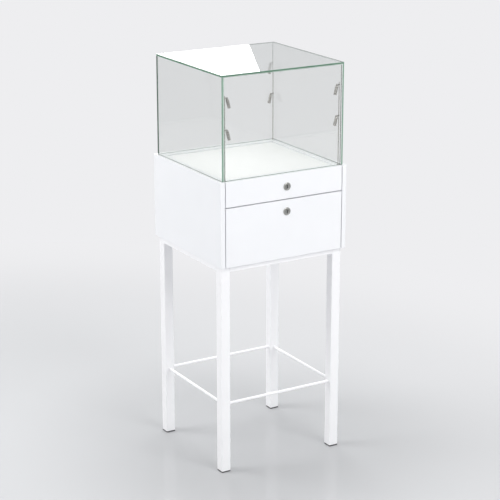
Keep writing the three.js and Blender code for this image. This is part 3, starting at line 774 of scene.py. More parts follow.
def build_balls(tree: Tree, given: Given) -> Node:
    """Builds balls at an even pitch along each line.

    Args:
        tree: The tree to build in.
        given: The tree's inputs by name.

    Returns:
        The instances.
    """
    curve = add_node(tree, "GeometryNodeMeshToCurve", {"Mesh": given["Geometry"]})
    spaced = add_node(tree, "GeometryNodeCurveToPoints", {"Curve": curve, "Length": given["Pitch"]}, mode="LENGTH")
    ball = add_node(tree, "GeometryNodeMeshUVSphere", {"Segments": 12, "Rings": 8, "Radius": given["Radius"]})
    return add_node(tree, "GeometryNodeInstanceOnPoints", {"Points": spaced, "Instance": ball})


def build_beads(tree: Tree, given: Given) -> Node:
    """Builds a ring of weld metal with its ripples round each point, square to Axis.

    Args:
        tree: The tree to build in.
        given: The tree's inputs by name.

    Returns:
        The instances.
    """
    ring = add_node(tree, "GeometryNodeCurvePrimitiveCircle", {"Resolution": 72, "Radius": given["Ring Radius"]})
    share = add_node(tree, "GeometryNodeSplineParameter")
    turns = add_node(tree, "ShaderNodeMath", {0: share, 1: given["Ripples"]}, operation="MULTIPLY")
    wave = add_node(tree, "ShaderNodeMath", {0: turns, 1: 2 * math.pi}, operation="MULTIPLY")
    swell = add_node(tree, "ShaderNodeMath", {0: wave}, operation="SINE")
    size = add_node(tree, "ShaderNodeMath", {0: swell, 1: RIPPLE, 2: 1.0}, operation="MULTIPLY_ADD")
    swollen = add_node(tree, "GeometryNodeSetCurveRadius", {"Curve": ring, "Radius": size})
    section = add_node(tree, "GeometryNodeCurvePrimitiveCircle", {"Resolution": 10, "Radius": given["Bead Radius"]})
    bead = add_node(tree, "GeometryNodeCurveToMesh", {"Curve": swollen, "Profile Curve": section})
    return at_points(tree, given, bead)


def build_ridges(tree: Tree, given: Given) -> Node:
    """Builds a thin round ridge at each point, lying along Axis."""
    sizes = {"Vertices": 10, "Radius": given["Radius"], "Depth": given["Length"]}
    return at_points(tree, given, add_node(tree, "GeometryNodeMeshCylinder", sizes))


UPRIGHT = (0.0, 0.0, 1.0)
RIDGES = Pattern("knurl_ridges", {"Radius": 0.35 * MM, "Length": 1.2 * MM, "Axis": UPRIGHT}, build_ridges)
SCREWS = Pattern("cross_head_screws", {"Radius": 3.5 * MM, "Height": 1.8 * MM, "Axis": UPRIGHT}, build_screws)
BALLS = Pattern("ball_rows", {"Radius": 1.5 * MM, "Pitch": 12 * MM}, build_balls)
WELD = {"Ring Radius": 5 * MM, "Bead Radius": 1.2 * MM, "Ripples": 16.0, "Axis": UPRIGHT}
BEADS = Pattern("weld_beads", WELD, build_beads)


# -------------------------------------------------------------------------------------- sub-assembly


def box_mm(node: str) -> tuple[Vector, Vector]:
    """Gives a solid's lowest and highest corner in millimetres."""
    low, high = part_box(node)
    return low / MM, high / MM


class SubAssembly:
    """What every sub-assembly does: dress the frame's solids and put the pieces it makes on their bodies."""

    def dress_nodes(self, finish: Finish, *nodes: str) -> None:
        """Gives the frame's own solids a finish.

        Args:
            finish: The finish.
            *nodes: The solids' names.
        """
        for name in nodes:
            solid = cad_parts[name]
            if not solid.material_slots:
                solid.data.materials.append(finish.material())
            for slot in solid.material_slots:
                slot.material = finish.material()
            LOG.info("%s: %s", name, finish.name)

    def add(self, piece: Object, body: str, finish: Finish, *replaced: str) -> None:
        """Puts a made piece on its body.

        Args:
            piece: The finished piece.
            body: The body that it rides on.
            finish: Not used.
            *replaced: The solids that it stands for.
        """
        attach(piece, str(body))
        if replaced:
            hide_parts(*replaced)
        LOG.info("%s on %s, %d faces", piece.name, str(body), len(piece.data.polygons))

    def put(self, shape: Shape, name: str, body: str, finish: Finish, *replaced: str) -> None:
        """Finishes a shape and puts it on its body, in place of the solids that are named."""
        self.add(finished(shape, name, finish), body, finish, *replaced)

    def screws(
        self, name: str, places: Iterable[Sequence[float]], body: str, facing: Triple, size: Pair
    ) -> None:
        """Adds a group of screws as one piece.

        Args:
            name: The piece's name.
            places: Where their heads sit, in millimetres.
            body: The body that carries them.
            facing: Where their heads face.
            size: The head's radius and height in millimetres.
        """
        radius, height = size
        made = SCREWS.repeat(name, seed_mesh(places), STAMPED, Axis=facing, Radius=radius, Height=height)
        self.add(made, body, STAMPED)

    def roll(
        self,
        node: str,
        section: Profile,
        sign: int,
        corner: float,
        span: Pair,
        body: str,
        finish: Finish,
    ) -> None:
        """Rolls a slide's member from strip with round corners, in place of its solid.

        Args:
            node: The solid's name.
            section: The right-hand member's section in X and Z, in millimetres.
            sign: -1 for the left and 1 for the right.
            corner: The radius of the bends.
            span: Where it starts in Y, and its length.
            body: The body that carries it.
            finish: Its finish.
        """
        start, length = span
        along = Matrix(((1, 0, 0, 0), (0, 0, 1, start * MM), (0, 1, 0, 0), (0, 0, 0, 1)))
        drawn = rounded([(sign * x, z) for x, z in section], corner)
        self.put(prism(bmesh.new(), (drawn,), length, along), f"rolled_{node}", body, finish, node)


@dataclass
class LegFrame(SubAssembly):
    """Four legs of square tube with their glides, four top rails and four stretcher rods. Millimetres."""

    leg_wall: float = 2.0
    leg_corner: float = 3.0
    corner_steps: int = 6
    leg_crisp: float = 25.0
    rod_segments: int = 40
    bead_radius: float = 1.0
    weld_gap: float = 0.02
    screw_size: Pair = (3.2, 1.8)
    screw_rise: float = 2.5
    screw_shares: Pair = (0.25, 0.75)

    def build(self) -> None:
        """Makes the legs and rods smooth, dresses the rest, and adds welds and screws."""
        corners = [f"{end}_{side}" for end in ENDS for side in SIDES]
        self.dress_nodes(GLIDE, *(f"glide_{corner}" for corner in corners))
        self.dress_nodes(COAT, *(f"top_rail_{key}" for key in ENDS + SIDES))
        for corner in corners:
            self.leg(corner)
        for axis, keys in enumerate((ENDS, SIDES)):
            for key in keys:
                self.rod(key, axis)
        for axis, (label, keys) in enumerate((("across", ENDS), ("along", SIDES))):
            ends = [self.spot(f"stretcher_{key}", axis, share) for key in keys for share in (0, 1)]
            facing = (1, 0, 0) if axis == 0 else (0, 1, 0)
            beads = BEADS.repeat(
                f"rod_welds_{label}", seed_mesh(ends), COAT, Axis=facing, Bead_Radius=self.bead_radius
            )
            self.add(beads, Body.CASE, COAT)
        self.rail_screws()

    def spot(self, bar: str, axis: int, share: float) -> Vector:
        """Gives the point at a share of a bar's length, in the middle of its section.

        Args:
            bar: The solid's name.
            axis: The axis that it lies along.
            share: 0 for its start and 1 for its end.

        Returns:
            The point.
        """
        low, high = box_mm(bar)
        point = (low + high) / 2
        point[axis] = low[axis] + share * (high[axis] - low[axis])
        return point

    def leg(self, corner: str) -> None:
        """Replaces a leg with a tube whose corners are round, closed by a welded cap.

        Args:
            corner: The corner that it stands in.
        """
        low, high = box_mm(f"leg_{corner}")
        width, middle = high.x - low.x, (low + high) / 2
        bore = width - 2 * self.leg_wall
        outer = rounded(rectangle(width, width), self.leg_corner, self.corner_steps)
        inner = rounded(rectangle(bore, bore), self.leg_corner - self.leg_wall, self.corner_steps)
        tube = high.z - low.z - self.leg_wall - self.weld_gap
        shape = prism(bmesh.new(), (outer, inner), tube, placed(middle.x, middle.y, low.z))
        prism(shape, (outer,), self.leg_wall, placed(middle.x, middle.y, high.z - self.leg_wall))
        self.add(finished(shape, f"leg_tube_{corner}", COAT, self.leg_crisp), Body.CASE, COAT, f"leg_{corner}")

    def rod(self, key: str, axis: int) -> None:
        """Replaces a stretcher rod with a smooth one.

        Args:
            key: The side that it closes.
            axis: The axis that it lies along.
        """
        node = f"stretcher_{key}"
        low, high = box_mm(node)
        place = placed(*self.spot(node, axis, 0), Way.BACK if axis else Way.RIGHT)
        bar = round_bar((high.z - low.z) / 2, 0, high[axis] - low[axis])
        self.put(lathe(bar, self.rod_segments, place), f"stretcher_rod_{key}", Body.CASE, COAT, node)

    def rail_screws(self) -> None:
        """Adds the screws that hold the cabinet, their heads up in the holes of the top rails."""
        spots = []
        for axis, keys in enumerate((ENDS, SIDES)):
            for key, share in ((key, share) for key in keys for share in self.screw_shares):
                point = self.spot(f"top_rail_{key}", axis, share)
                point.z = box_mm(f"top_rail_{key}")[0].z + self.screw_rise
                spots.append(point)
        self.screws("rail_screws", spots, Body.CASE, (0, 0, -1), self.screw_size)


@dataclass
class Cabinet(SubAssembly):
    """The lacquered boards and the divider rail."""

    boards: tuple[str, ...] = ("cabinet_side_left", "cabinet_side_right", "cabinet_back", "cabinet_bottom")

    def build(self) -> None:
        """Dresses the boards."""
        self.dress_nodes(LACQUER, *self.boards, "divider_rail")


@dataclass
class Driver(SubAssembly):
    """The driver of the spotlights inside the back panel, with its inlet through the panel. Millimetres."""

    corner: float = 4.0
    lid: float = 3.0
    seam: float = 0.6
    rib_pitch: float = 7.0
    rib_depth: float = 1.2
    rib_half: float = 1.2
    rib_edge: float = 0.4
    rib_margins: Pair = (24.0, 5.0)
    neck_radius: float = 8.0
    flange_radius: float = 11.0
    nut_radius: float = 10.6
    bore_radius: float = 4.5
    pin_radius: float = 1.0
    inlet_depth: float = 12.0
    panel: float = 16.0
    proud: float = 3.0
    segments: int = 64
    ridges: int = 40

    def build(self) -> None:
        """Makes the housing with its ribs, and the inlet."""
        low, high = box_mm("lamp_driver")
        size, middle = high - low, (low + high) / 2
        back = high.y - self.panel - self.proud
        outline = rounded(rectangle(size.x, size.z), self.corner, 6)
        inset = rounded(rectangle(size.x - 2 * self.seam, size.z - 2 * self.seam), self.corner - self.seam, 6)
        shape = bmesh.new()
        for section, length, start in (
            (outline, back - low.y - self.lid - self.seam, back),
            (inset, self.seam, low.y + self.lid + self.seam),
            (outline, self.lid - self.rib_depth, low.y + self.lid),
        ):
            prism(shape, (section,), length, placed(middle.x, start, middle.z, Way.FRONT))
        beside, above = self.rib_margins
        count = int((size.x - beside) / self.rib_pitch)
        for k in range(count + 1):
            x = middle.x + (k - count / 2) * self.rib_pitch
            corner = (x + self.rib_half, low.y + self.rib_depth + self.rib_edge, high.z - above)
            block(shape, (x - self.rib_half, low.y, low.z + above), corner, self.rib_edge)
        self.put(shape, "driver_housing", Body.CASE, DRIVER_CASE, "lamp_driver")
        self.inlet(middle.x, back, middle.z)

    def inlet(self, x: float, y: float, z: float) -> None:
        """Adds the inlet: its neck through the panel, the flange, the pin and the knurled ring.

        Args:
            x: Its place across the case.
            y: The panel's inner face.
            z: Its height.
        """
        face, panel, nut = self.panel + self.proud, self.panel, self.nut_radius
        floor = face - self.inlet_depth
        profile = [(0, -1.5), (self.neck_radius, -1.5), (self.neck_radius, panel), (self.flange_radius, panel)]
        profile += [(self.flange_radius, panel + 0.8), (nut - 1.2, panel + 0.8), (nut - 1.4, face - 0.4)]
        profile += [(nut - 1.9, face), (self.bore_radius + 0.5, face), (self.bore_radius, face - 0.5)]
        profile += [(self.bore_radius, floor), (self.pin_radius, floor), (self.pin_radius, face - 2.4)]
        profile += [(self.pin_radius - 0.5, face - 1.8), (0, face - 1.7)]
        socket = lathe(profile, self.segments, placed(x, y, z, Way.BACK))
        self.put(socket, "inlet_socket", Body.CASE, DRIVER_CASE)
        inner, outer = nut - 1.1, nut - 0.3
        ring = [(inner, 1.0), (outer, 1.0), (outer, 2.3), (inner, 2.6), (inner, 1.0)]
        around = lathe(ring, self.segments, placed(x, y + panel, z, Way.BACK))
        self.put(around, "inlet_ring_nut", Body.CASE, STAMPED)
        reach = nut - 0.35
        turns = [2 * math.pi * k / self.ridges for k in range(self.ridges)]
        places = seed_mesh((x + reach * math.cos(t), y + panel + 1.65, z + reach * math.sin(t)) for t in turns)
        knurl = RIDGES.repeat("inlet_ring_knurl", places, STAMPED, Radius=0.35, Length=1.2, Axis=(0, 1, 0))
        self.add(knurl, Body.CASE, STAMPED)


@dataclass
class GlassCase(SubAssembly):
    """The four panes that stand still and the front pane that goes out with the deck. Millimetres."""

    arris: float = 0.6
    crisp: float = 20.0
    # The edge finishes: the polished edge, the ground arris, lighter copies painted as light for front edges and
    # ends, and a dark copy painted as shade at the foot.
    edges: tuple[Finish, ...] = (EDGE, ARRIS, LIT_FRONT_EDGE, SHADED_FOOT_EDGE, LIT_PANE_END)

    def build(self) -> None:
        """Replaces each pane with one whose edges are ground and polished."""
        for name in ("left", "right", "back", "top"):
            self.pane(name, Body.CASE)
        self.pane("front", Body.DECK)

    def pane(self, name: str, body: Body) -> None:
        """Makes a pane: clear faces, polished edges and a ground arris along each of them. An upright pane's foot
        edge is painted dark as shade, and its front edge and the front pane's ends are painted lighter as light.

        Args:
            name: The side that it closes.
            body: The body that carries it.
        """
        low, high = box_mm(f"glass_{name}")
        size = high - low
        thin = min(range(3), key=lambda axis: size[axis])
        shape = block(bmesh.new(), low, high, self.arris, 1)
        shape.normal_update()
        for face in shape.faces:
            share = abs(face.normal[thin])
            if share > 0.95:
                continue
            # The foot edge of an upright pane takes the dark edge that is painted as shade.
            if thin == 0 and face.calc_center_median().z < (low.z + self.arris) * MM:
                edge = SHADED_FOOT_EDGE
            # The front edge of an upright pane and the ends of the front pane take the lighter copies, painted as
            # light.
            elif thin == 0 and face.normal.y < -0.95:
                edge = LIT_FRONT_EDGE
            elif name == "front" and abs(face.normal.x) > 0.95:
                edge = LIT_PANE_END
            else:
                edge = EDGE if share < 0.05 else ARRIS
            face.material_index = 1 + self.edges.index(edge)
        piece = finished(shape, f"pane_{name}", GLASS, self.crisp)
        for finish in self.edges:
            piece.data.materials.append(finish.material())
        self.add(piece, body, GLASS, f"glass_{name}")


@dataclass(frozen=True)
class SlideMember:
    """One rolled member of the deck's telescopic slide: its section in u (in from the cabinet side) and v (up)."""

    name: str
    body: Body
    section: Profile


@dataclass(frozen=True)
class BallRow:
    """A pair of ball rows with their cages: the place in u and v, the ball's radius, and the span in Y."""

    name: str
    place: Pair
    radius: float
    span: Pair


CABINET_SECTION = ((0, 22.5), (10, 22.5), (10, 19.75), (8.9, 19.75), (8.9, 21.4), (1.1, 21.4))
MIDDLE_SECTION = (
    (2.6, 17.4), (3.4, 17.4), (3.9, 18.2), (7.1, 18.2), (7.6, 17.4),
    (12.0, 17.4), (12.0, 14.6), (10.9, 14.6), (10.9, 16.3), (3.7, 16.3),
)
DECK_SECTION = ((13, 12.2), (5.5, 12.2), (5.5, 11.1), (11.9, 11.1))


@dataclass
class Deck(SubAssembly):
    """The pull-out deck with its front and display board, on two telescopic slides. Millimetres."""

    members: tuple[SlideMember, ...] = (
        SlideMember("cabinet", Body.CASE, CABINET_SECTION),
        SlideMember("middle", Body.MIDDLES, MIDDLE_SECTION),
        SlideMember("deck", Body.DECK, DECK_SECTION),
    )
    rows: tuple[BallRow, ...] = (
        BallRow("outer", (5.5, 19.85), 1.5, (-10.0, 170.0)),
        BallRow("inner", (8.8, 14.2), 1.95, (-212.0, -20.0)),
    )
    corner: float = 0.55
    ball_pitch: float = 10.0
    cage_room: tuple[float, float, float] = (0.5, 4.0, 0.3)
    cage_edge: float = 0.15
    runner_face: float = 11.9
    screw_size: Pair = (3.4, 1.7)
    screw_places: tuple[float, ...] = (-190.0, -30.0, 150.0)
    inlay_room: float = 1.6
    inlay_ease: float = 0.7

    def build(self) -> None:
        """Dresses the deck, and makes its slides with their balls, cages and screws."""
        self.dress_nodes(LACQUER, "deck_front", "deck_tray")
        self.inlay()
        low, high = box_mm("deck_slide_cabinet_member_right")
        for side, sign in HANDS:
            for member in self.members:
                upper = [(u, v) for u, v in member.section if v > 0]
                outline = upper + [(u, -v) for u, v in reversed(upper)]
                drawn = [(high.x - u, (low.z + high.z) / 2 + v) for u, v in outline]
                name = f"deck_slide_{member.name}_member_{side}"
                self.roll(name, drawn, sign, self.corner, (low.y, high.y - low.y), member.body, ZINC)
            for row in self.rows:
                self.balls(row, side, sign * (high.x - row.place[0]), (low.z + high.z) / 2)
            x = sign * (high.x - self.runner_face)
            places = [(x, y, (low.z + high.z) / 2) for y in self.screw_places]
            self.screws(f"deck_slide_screws_{side}", places, Body.DECK, (sign, 0, 0), self.screw_size)

    def inlay(self) -> None:
        """Lays the display board in its recess, with eased edges and room for a fingernail round it."""
        low, high = box_mm("deck_inlay")
        room = Vector((self.inlay_room, self.inlay_room, 0))
        board = block(bmesh.new(), low + room, high - room, self.inlay_ease)
        self.put(board, "display_board", Body.DECK, BOARD, "deck_inlay")

    def balls(self, row: BallRow, side: str, x: float, middle: float) -> None:
        """Adds an upper and a lower row of balls and the cages that hold them.

        Args:
            row: The rows.
            side: "left" or "right".
            x: Their place across the case.
            middle: The slide's middle height.
        """
        ends, cage = [], bmesh.new()
        first, last = row.span
        beside, beyond, above = self.cage_room
        for z in (middle + row.place[1], middle - row.place[1]):
            ends += [(x, first, z), (x, last, z)]
            low = (x - row.radius - beside, first - beyond, z - above)
            block(cage, low, (x + row.radius + beside, last + beyond, z + above), self.cage_edge)
        name = f"deck_slide_{row.name}_balls_{side}"
        made = BALLS.repeat(name, seed_mesh(ends, True), CHROME, Radius=row.radius, Pitch=self.ball_pitch)
        self.add(made, Body.MIDDLES, CHROME)
        self.put(cage, f"deck_slide_{row.name}_cages_{side}", Body.MIDDLES, STAMPED)


@dataclass
class Drawer(SubAssembly):
    """The drawer box on its roller slides. Millimetres."""

    sheet: float = 1.25
    corner: float = 0.6
    channel_width: float = 10.0
    channel_height: float = 26.0
    channel_lip: float = 3.0
    channel_rise: float = 10.0
    angle_height: float = 30.0
    angle_lip: float = 3.0
    side_board: float = 12.0
    slide_space: float = 13.0
    play: float = 0.25
    front_roller: Pair = (8.0, 6.2)
    front_place: Pair = (1.3, 14.0)
    rear_roller: Pair = (11.0, 5.0)
    rear_place: Pair = (3.5, 30.0)
    axle: Pair = (2.5, 4.5)
    screw_size: Pair = (3.2, 1.4)
    screw_height: float = 15.0
    roller_segments: int = 48
    axle_segments: int = 24
    rivet_segments: int = 32
    screw_places: tuple[float, ...] = (-170.0, -20.0, 120.0)

    def build(self) -> None:
        """Dresses the drawer and makes its roller slides."""
        self.dress_nodes(LACQUER, "drawer_front")
        self.dress_nodes(BOARD, "drawer_side_left", "drawer_side_right", "drawer_bottom", "drawer_back")
        self.floor = box_mm("drawer_side_right")[0].z
        self.wall = box_mm("drawer_slide_cabinet_member_right")[1].x
        for side, sign in HANDS:
            self.cabinet_member(side, sign)
            self.drawer_member(side, sign)

    def cabinet_member(self, side: str, sign: int) -> None:
        """Makes the channel on the cabinet side, with the roller at its front end and its screws.

        Args:
            side: "left" or "right".
            sign: -1 for the left and 1 for the right.
        """
        name = f"drawer_slide_cabinet_member_{side}"
        low, high = box_mm(name)
        wall, sheet, top, width = self.wall, self.sheet, self.channel_height, self.channel_width
        section = [(0, top), (0, 0), (width, 0), (width, self.channel_lip), (width - sheet, self.channel_lip)]
        section += [(width - sheet, sheet), (sheet, sheet), (sheet, top - sheet), (width, top - sheet), (width, top)]
        foot = self.floor + self.channel_rise
        drawn = [(wall - u, foot + v) for u, v in section]
        self.roll(name, drawn, sign, self.corner, (low.y, high.y - low.y), Body.CASE, EPOXY)
        gap, inset = self.front_place
        z = self.floor + self.angle_height - sheet - self.play - self.front_roller[0]
        place = self.inwards(wall - gap, low.y + inset, z, sign)
        self.roller(f"front_roller_{side}", Body.CASE, self.front_roller, place)
        places = [(sign * (wall - sheet), y, foot + top / 2) for y in self.screw_places]
        self.screws(f"drawer_slide_screws_{side}", places, Body.CASE, (-sign, 0, 0), self.screw_size)

    def drawer_member(self, side: str, sign: int) -> None:
        """Makes the angle under the drawer's side, with the roller at its rear end and its screws.

        Args:
            side: "left" or "right".
            sign: -1 for the left and 1 for the right.
        """
        name = f"drawer_slide_drawer_member_{side}"
        low, high = box_mm(name)
        wall, sheet, top, face, lip = self.wall, self.sheet, self.angle_height, self.slide_space, self.angle_lip
        section = [(face + self.side_board, -sheet), (face + self.side_board, 0), (face, 0), (face, top), (lip, top)]
        section += [(lip, top - sheet), (face - sheet, top - sheet), (face - sheet, -sheet)]
        drawn = [(wall - u, self.floor + v) for u, v in section]
        self.roll(name, drawn, sign, self.corner, (low.y, high.y - low.y), Body.DRAWER, EPOXY)
        gap, inset = self.rear_place
        y = box_mm("drawer_slide_cabinet_member_right")[1].y - inset
        z = self.floor + self.channel_rise + sheet + self.play + self.rear_roller[0]
        self.roller(f"rear_roller_{side}", Body.DRAWER, self.rear_roller, self.inwards(wall - gap, y, z, sign))
        radius, length = self.axle
        place = self.inwards(wall - face + sheet / 2, y, z, sign, True)
        axle = lathe(round_bar(radius, 0, length), self.axle_segments, place)
        self.put(axle, f"rear_roller_axle_{side}", Body.DRAWER, STAMPED)
        places = [(sign * (wall - face + sheet), y, self.floor + self.screw_height) for y in self.screw_places[:2]]
        self.screws(f"drawer_box_screws_{side}", places, Body.DRAWER, (sign, 0, 0), self.screw_size)

    def inwards(self, x: float, y: float, z: float, sign: int, outwards: bool = False) -> Matrix:
        """Places a turned piece on an axle at x from the middle so that it runs inwards, or outwards."""
        return placed(sign * x, y, z, Way.LEFT if (sign > 0) != outwards else Way.RIGHT)

    def roller(self, name: str, body: Body, size: Pair, place: Matrix) -> None:
        """Adds a nylon roller with its riveted axle.

        Args:
            name: The piece's name.
            body: The body that carries it.
            size: Its radius and width.
            place: Where it goes. Its outer face lies at the origin.
        """
        radius, width = size
        rim = [(2.2, 0.4), (radius - 2.4, 0.4), (radius - 1.8, 0), (radius - 0.4, 0), (radius, 0.4)]
        profile = rim + [(r, width - h) for r, h in reversed(rim)] + rim[:1]
        self.put(lathe(profile, self.roller_segments, place), name, body, ROLLER)
        head = [(0, 0.1), (2.1, 0.1), (2.1, width - 0.6), (3.4, width - 0.5), (2.6, width), (0, width + 0.2)]
        self.put(lathe(head, self.rivet_segments, place), f"{name}_rivet", body, STAMPED)


@dataclass
class CamLock(SubAssembly):
    """A cam lock: the bezelled barrel with its nut, the plug with its key slot, and the cam. Millimetres."""

    owner: str
    front_body: Body
    turning_body: Body
    bezel_depth: float = 3.0
    bezel_radius: float = 14.0
    barrel_radius: float = 11.0
    bore_radius: float = 8.3
    plug_radius: float = 8.0
    plug_face: float = 2.5
    recess: float = 0.5
    board: float = 16.0
    thread_pitch: float = 1.5
    thread_depth: float = 0.5
    slot: Pair = (3.2, 12.4)
    # Painted shade: the near-black block in the keyway, its front and back depth behind the face.
    shutter: Pair = (0.75, 3.4)
    core_start: float = 3.45
    square: float = 7.0
    square_hole: float = 7.5
    nut_across: float = 28.0
    nut_height: float = 5.0
    tip_radius: float = 6.0
    shoulder: float = 75.0
    screw_size: Pair = (5.0, 2.1)
    washer: float = 0.3
    ease: float = 0.3
    nut_ease: float = 0.6
    cam_ease: float = 0.25
    # The painted keyway shade's eased edge, and its room beside and above in the slot.
    keyway_shade_ease: float = 0.1
    keyway_shade_room: Pair = (0.05, 0.3)
    nut_play: float = 0.05
    nut_steps: int = 48
    face_steps: int = 64
    segments: int = 72

    def build(self) -> None:
        """Makes the barrel, nut, plug and cam."""
        low, high = box_mm(f"{self.owner}_lock_body")
        self.x, self.z = (low.x + high.x) / 2, (low.z + high.z) / 2
        self.face, self.length = low.y, high.y - low.y
        self.barrel()
        self.nut()
        self.plug()
        self.cam()

    def facing(self, depth: float, way: Way = Way.FRONT) -> Matrix:
        """Places a piece on the lock's axis, at a depth behind its face."""
        return placed(self.x, self.face + depth, self.z, way)

    def barrel(self) -> None:
        """Makes the round bezel and the threaded barrel behind it."""
        rim, bore, outer, depth = self.bezel_radius, self.bore_radius, self.barrel_radius, self.bezel_depth
        profile = [(bore, 1.0), (bore + 0.5, 0.35), (bore + 1.1, 0.2), (rim - 3.3, 0.2), (rim - 2.8, 0)]
        profile += [(rim - 1.6, 0), (rim - 0.9, 0.25), (rim - 0.3, 0.9), (rim, 1.8), (rim, depth), (outer, depth)]
        travelled = depth + self.board
        profile.append((outer, travelled))
        while travelled + self.thread_pitch < self.length - 1:
            profile.append((outer - self.thread_depth, travelled + self.thread_pitch / 2))
            profile.append((outer, travelled + self.thread_pitch))
            travelled += self.thread_pitch
        profile += [(outer - 0.6, self.length), (bore, self.length), (bore, 1.0)]
        shape = lathe(profile, self.segments, self.facing(0, Way.BACK))
        self.put(shape, f"{self.owner}_lock_barrel", self.front_body, NICKEL, f"{self.owner}_lock_body")

    def nut(self) -> None:
        """Adds the hexagon nut that holds the barrel in the front."""
        hexagon = circle(self.nut_across / 2 / math.cos(math.radians(30)), 6)
        middle = self.bezel_depth + self.board + self.nut_play + self.nut_height / 2
        bore = circle(self.barrel_radius + self.nut_play, self.nut_steps)
        shape = plate((hexagon, bore), self.nut_height, self.nut_ease, self.facing(middle))
        self.put(shape, f"{self.owner}_lock_nut", self.front_body, STAMPED)

    def plug(self) -> None:
        """Makes the plug: a face with the key slot, a near-black block behind it that paints the shade in the keyway,
        and the body of the plug.
        """
        (width, height), radius = self.slot, self.plug_radius
        mouth = rounded(rectangle(width, height), width * 0.45, 5)
        place = self.facing(self.recess + self.plug_face / 2)
        ring = plate((circle(radius, self.face_steps), mouth), self.plug_face, self.ease, place)
        self.put(ring, f"{self.owner}_lock_plug_face", self.turning_body, NICKEL, f"{self.owner}_lock_plug")
        # A near-black block in the keyway, painted as its shade.
        front, back = (self.face + depth for depth in self.shutter)
        beside, above = self.keyway_shade_room
        half, rise = width / 2 - beside, height / 2 - above
        low, high = (self.x - half, front, self.z - rise), (self.x + half, back, self.z + rise)
        shutter = block(bmesh.new(), low, high, self.keyway_shade_ease)
        self.put(shutter, f"{self.owner}_lock_shutter", self.turning_body, KEYWAY_SHADE)
        bar = round_bar(radius, self.core_start, self.length)
        core = lathe(bar, self.segments, self.facing(0, Way.BACK))
        half, start = self.square / 2, self.face + self.length - 0.5
        end = box_mm(f"{self.owner}_lock_cam")[1].y + self.washer
        low, high = (self.x - half, start, self.z - half), (self.x + half, end, self.z + half)
        self.put(block(core, low, high, self.ease), f"{self.owner}_lock_plug_core", self.turning_body, NICKEL)

    def cam(self) -> None:
        """Makes the stamped cam with its screw."""
        low, high = box_mm(f"{self.owner}_lock_cam")
        tip, reach = self.tip_radius, high.x - self.x
        outline = arc(0, 0, (high.z - low.z) / 2, self.shoulder, 360 - self.shoulder, 40)
        outline += arc(reach - tip, 0, tip, -90, 90, 20)
        hole = rectangle(self.square_hole, self.square_hole)
        place = placed(self.x, (low.y + high.y) / 2, self.z, Way.FRONT)
        shape = plate((outline, hole), high.y - low.y, self.cam_ease, place)
        self.put(shape, f"{self.owner}_lock_cam_plate", self.turning_body, STAMPED, f"{self.owner}_lock_cam")
        spot = (self.x, high.y + self.washer, self.z)
        self.screws(f"{self.owner}_lock_cam_screw", [spot], self.turning_body, (0, 1, 0), self.screw_size)


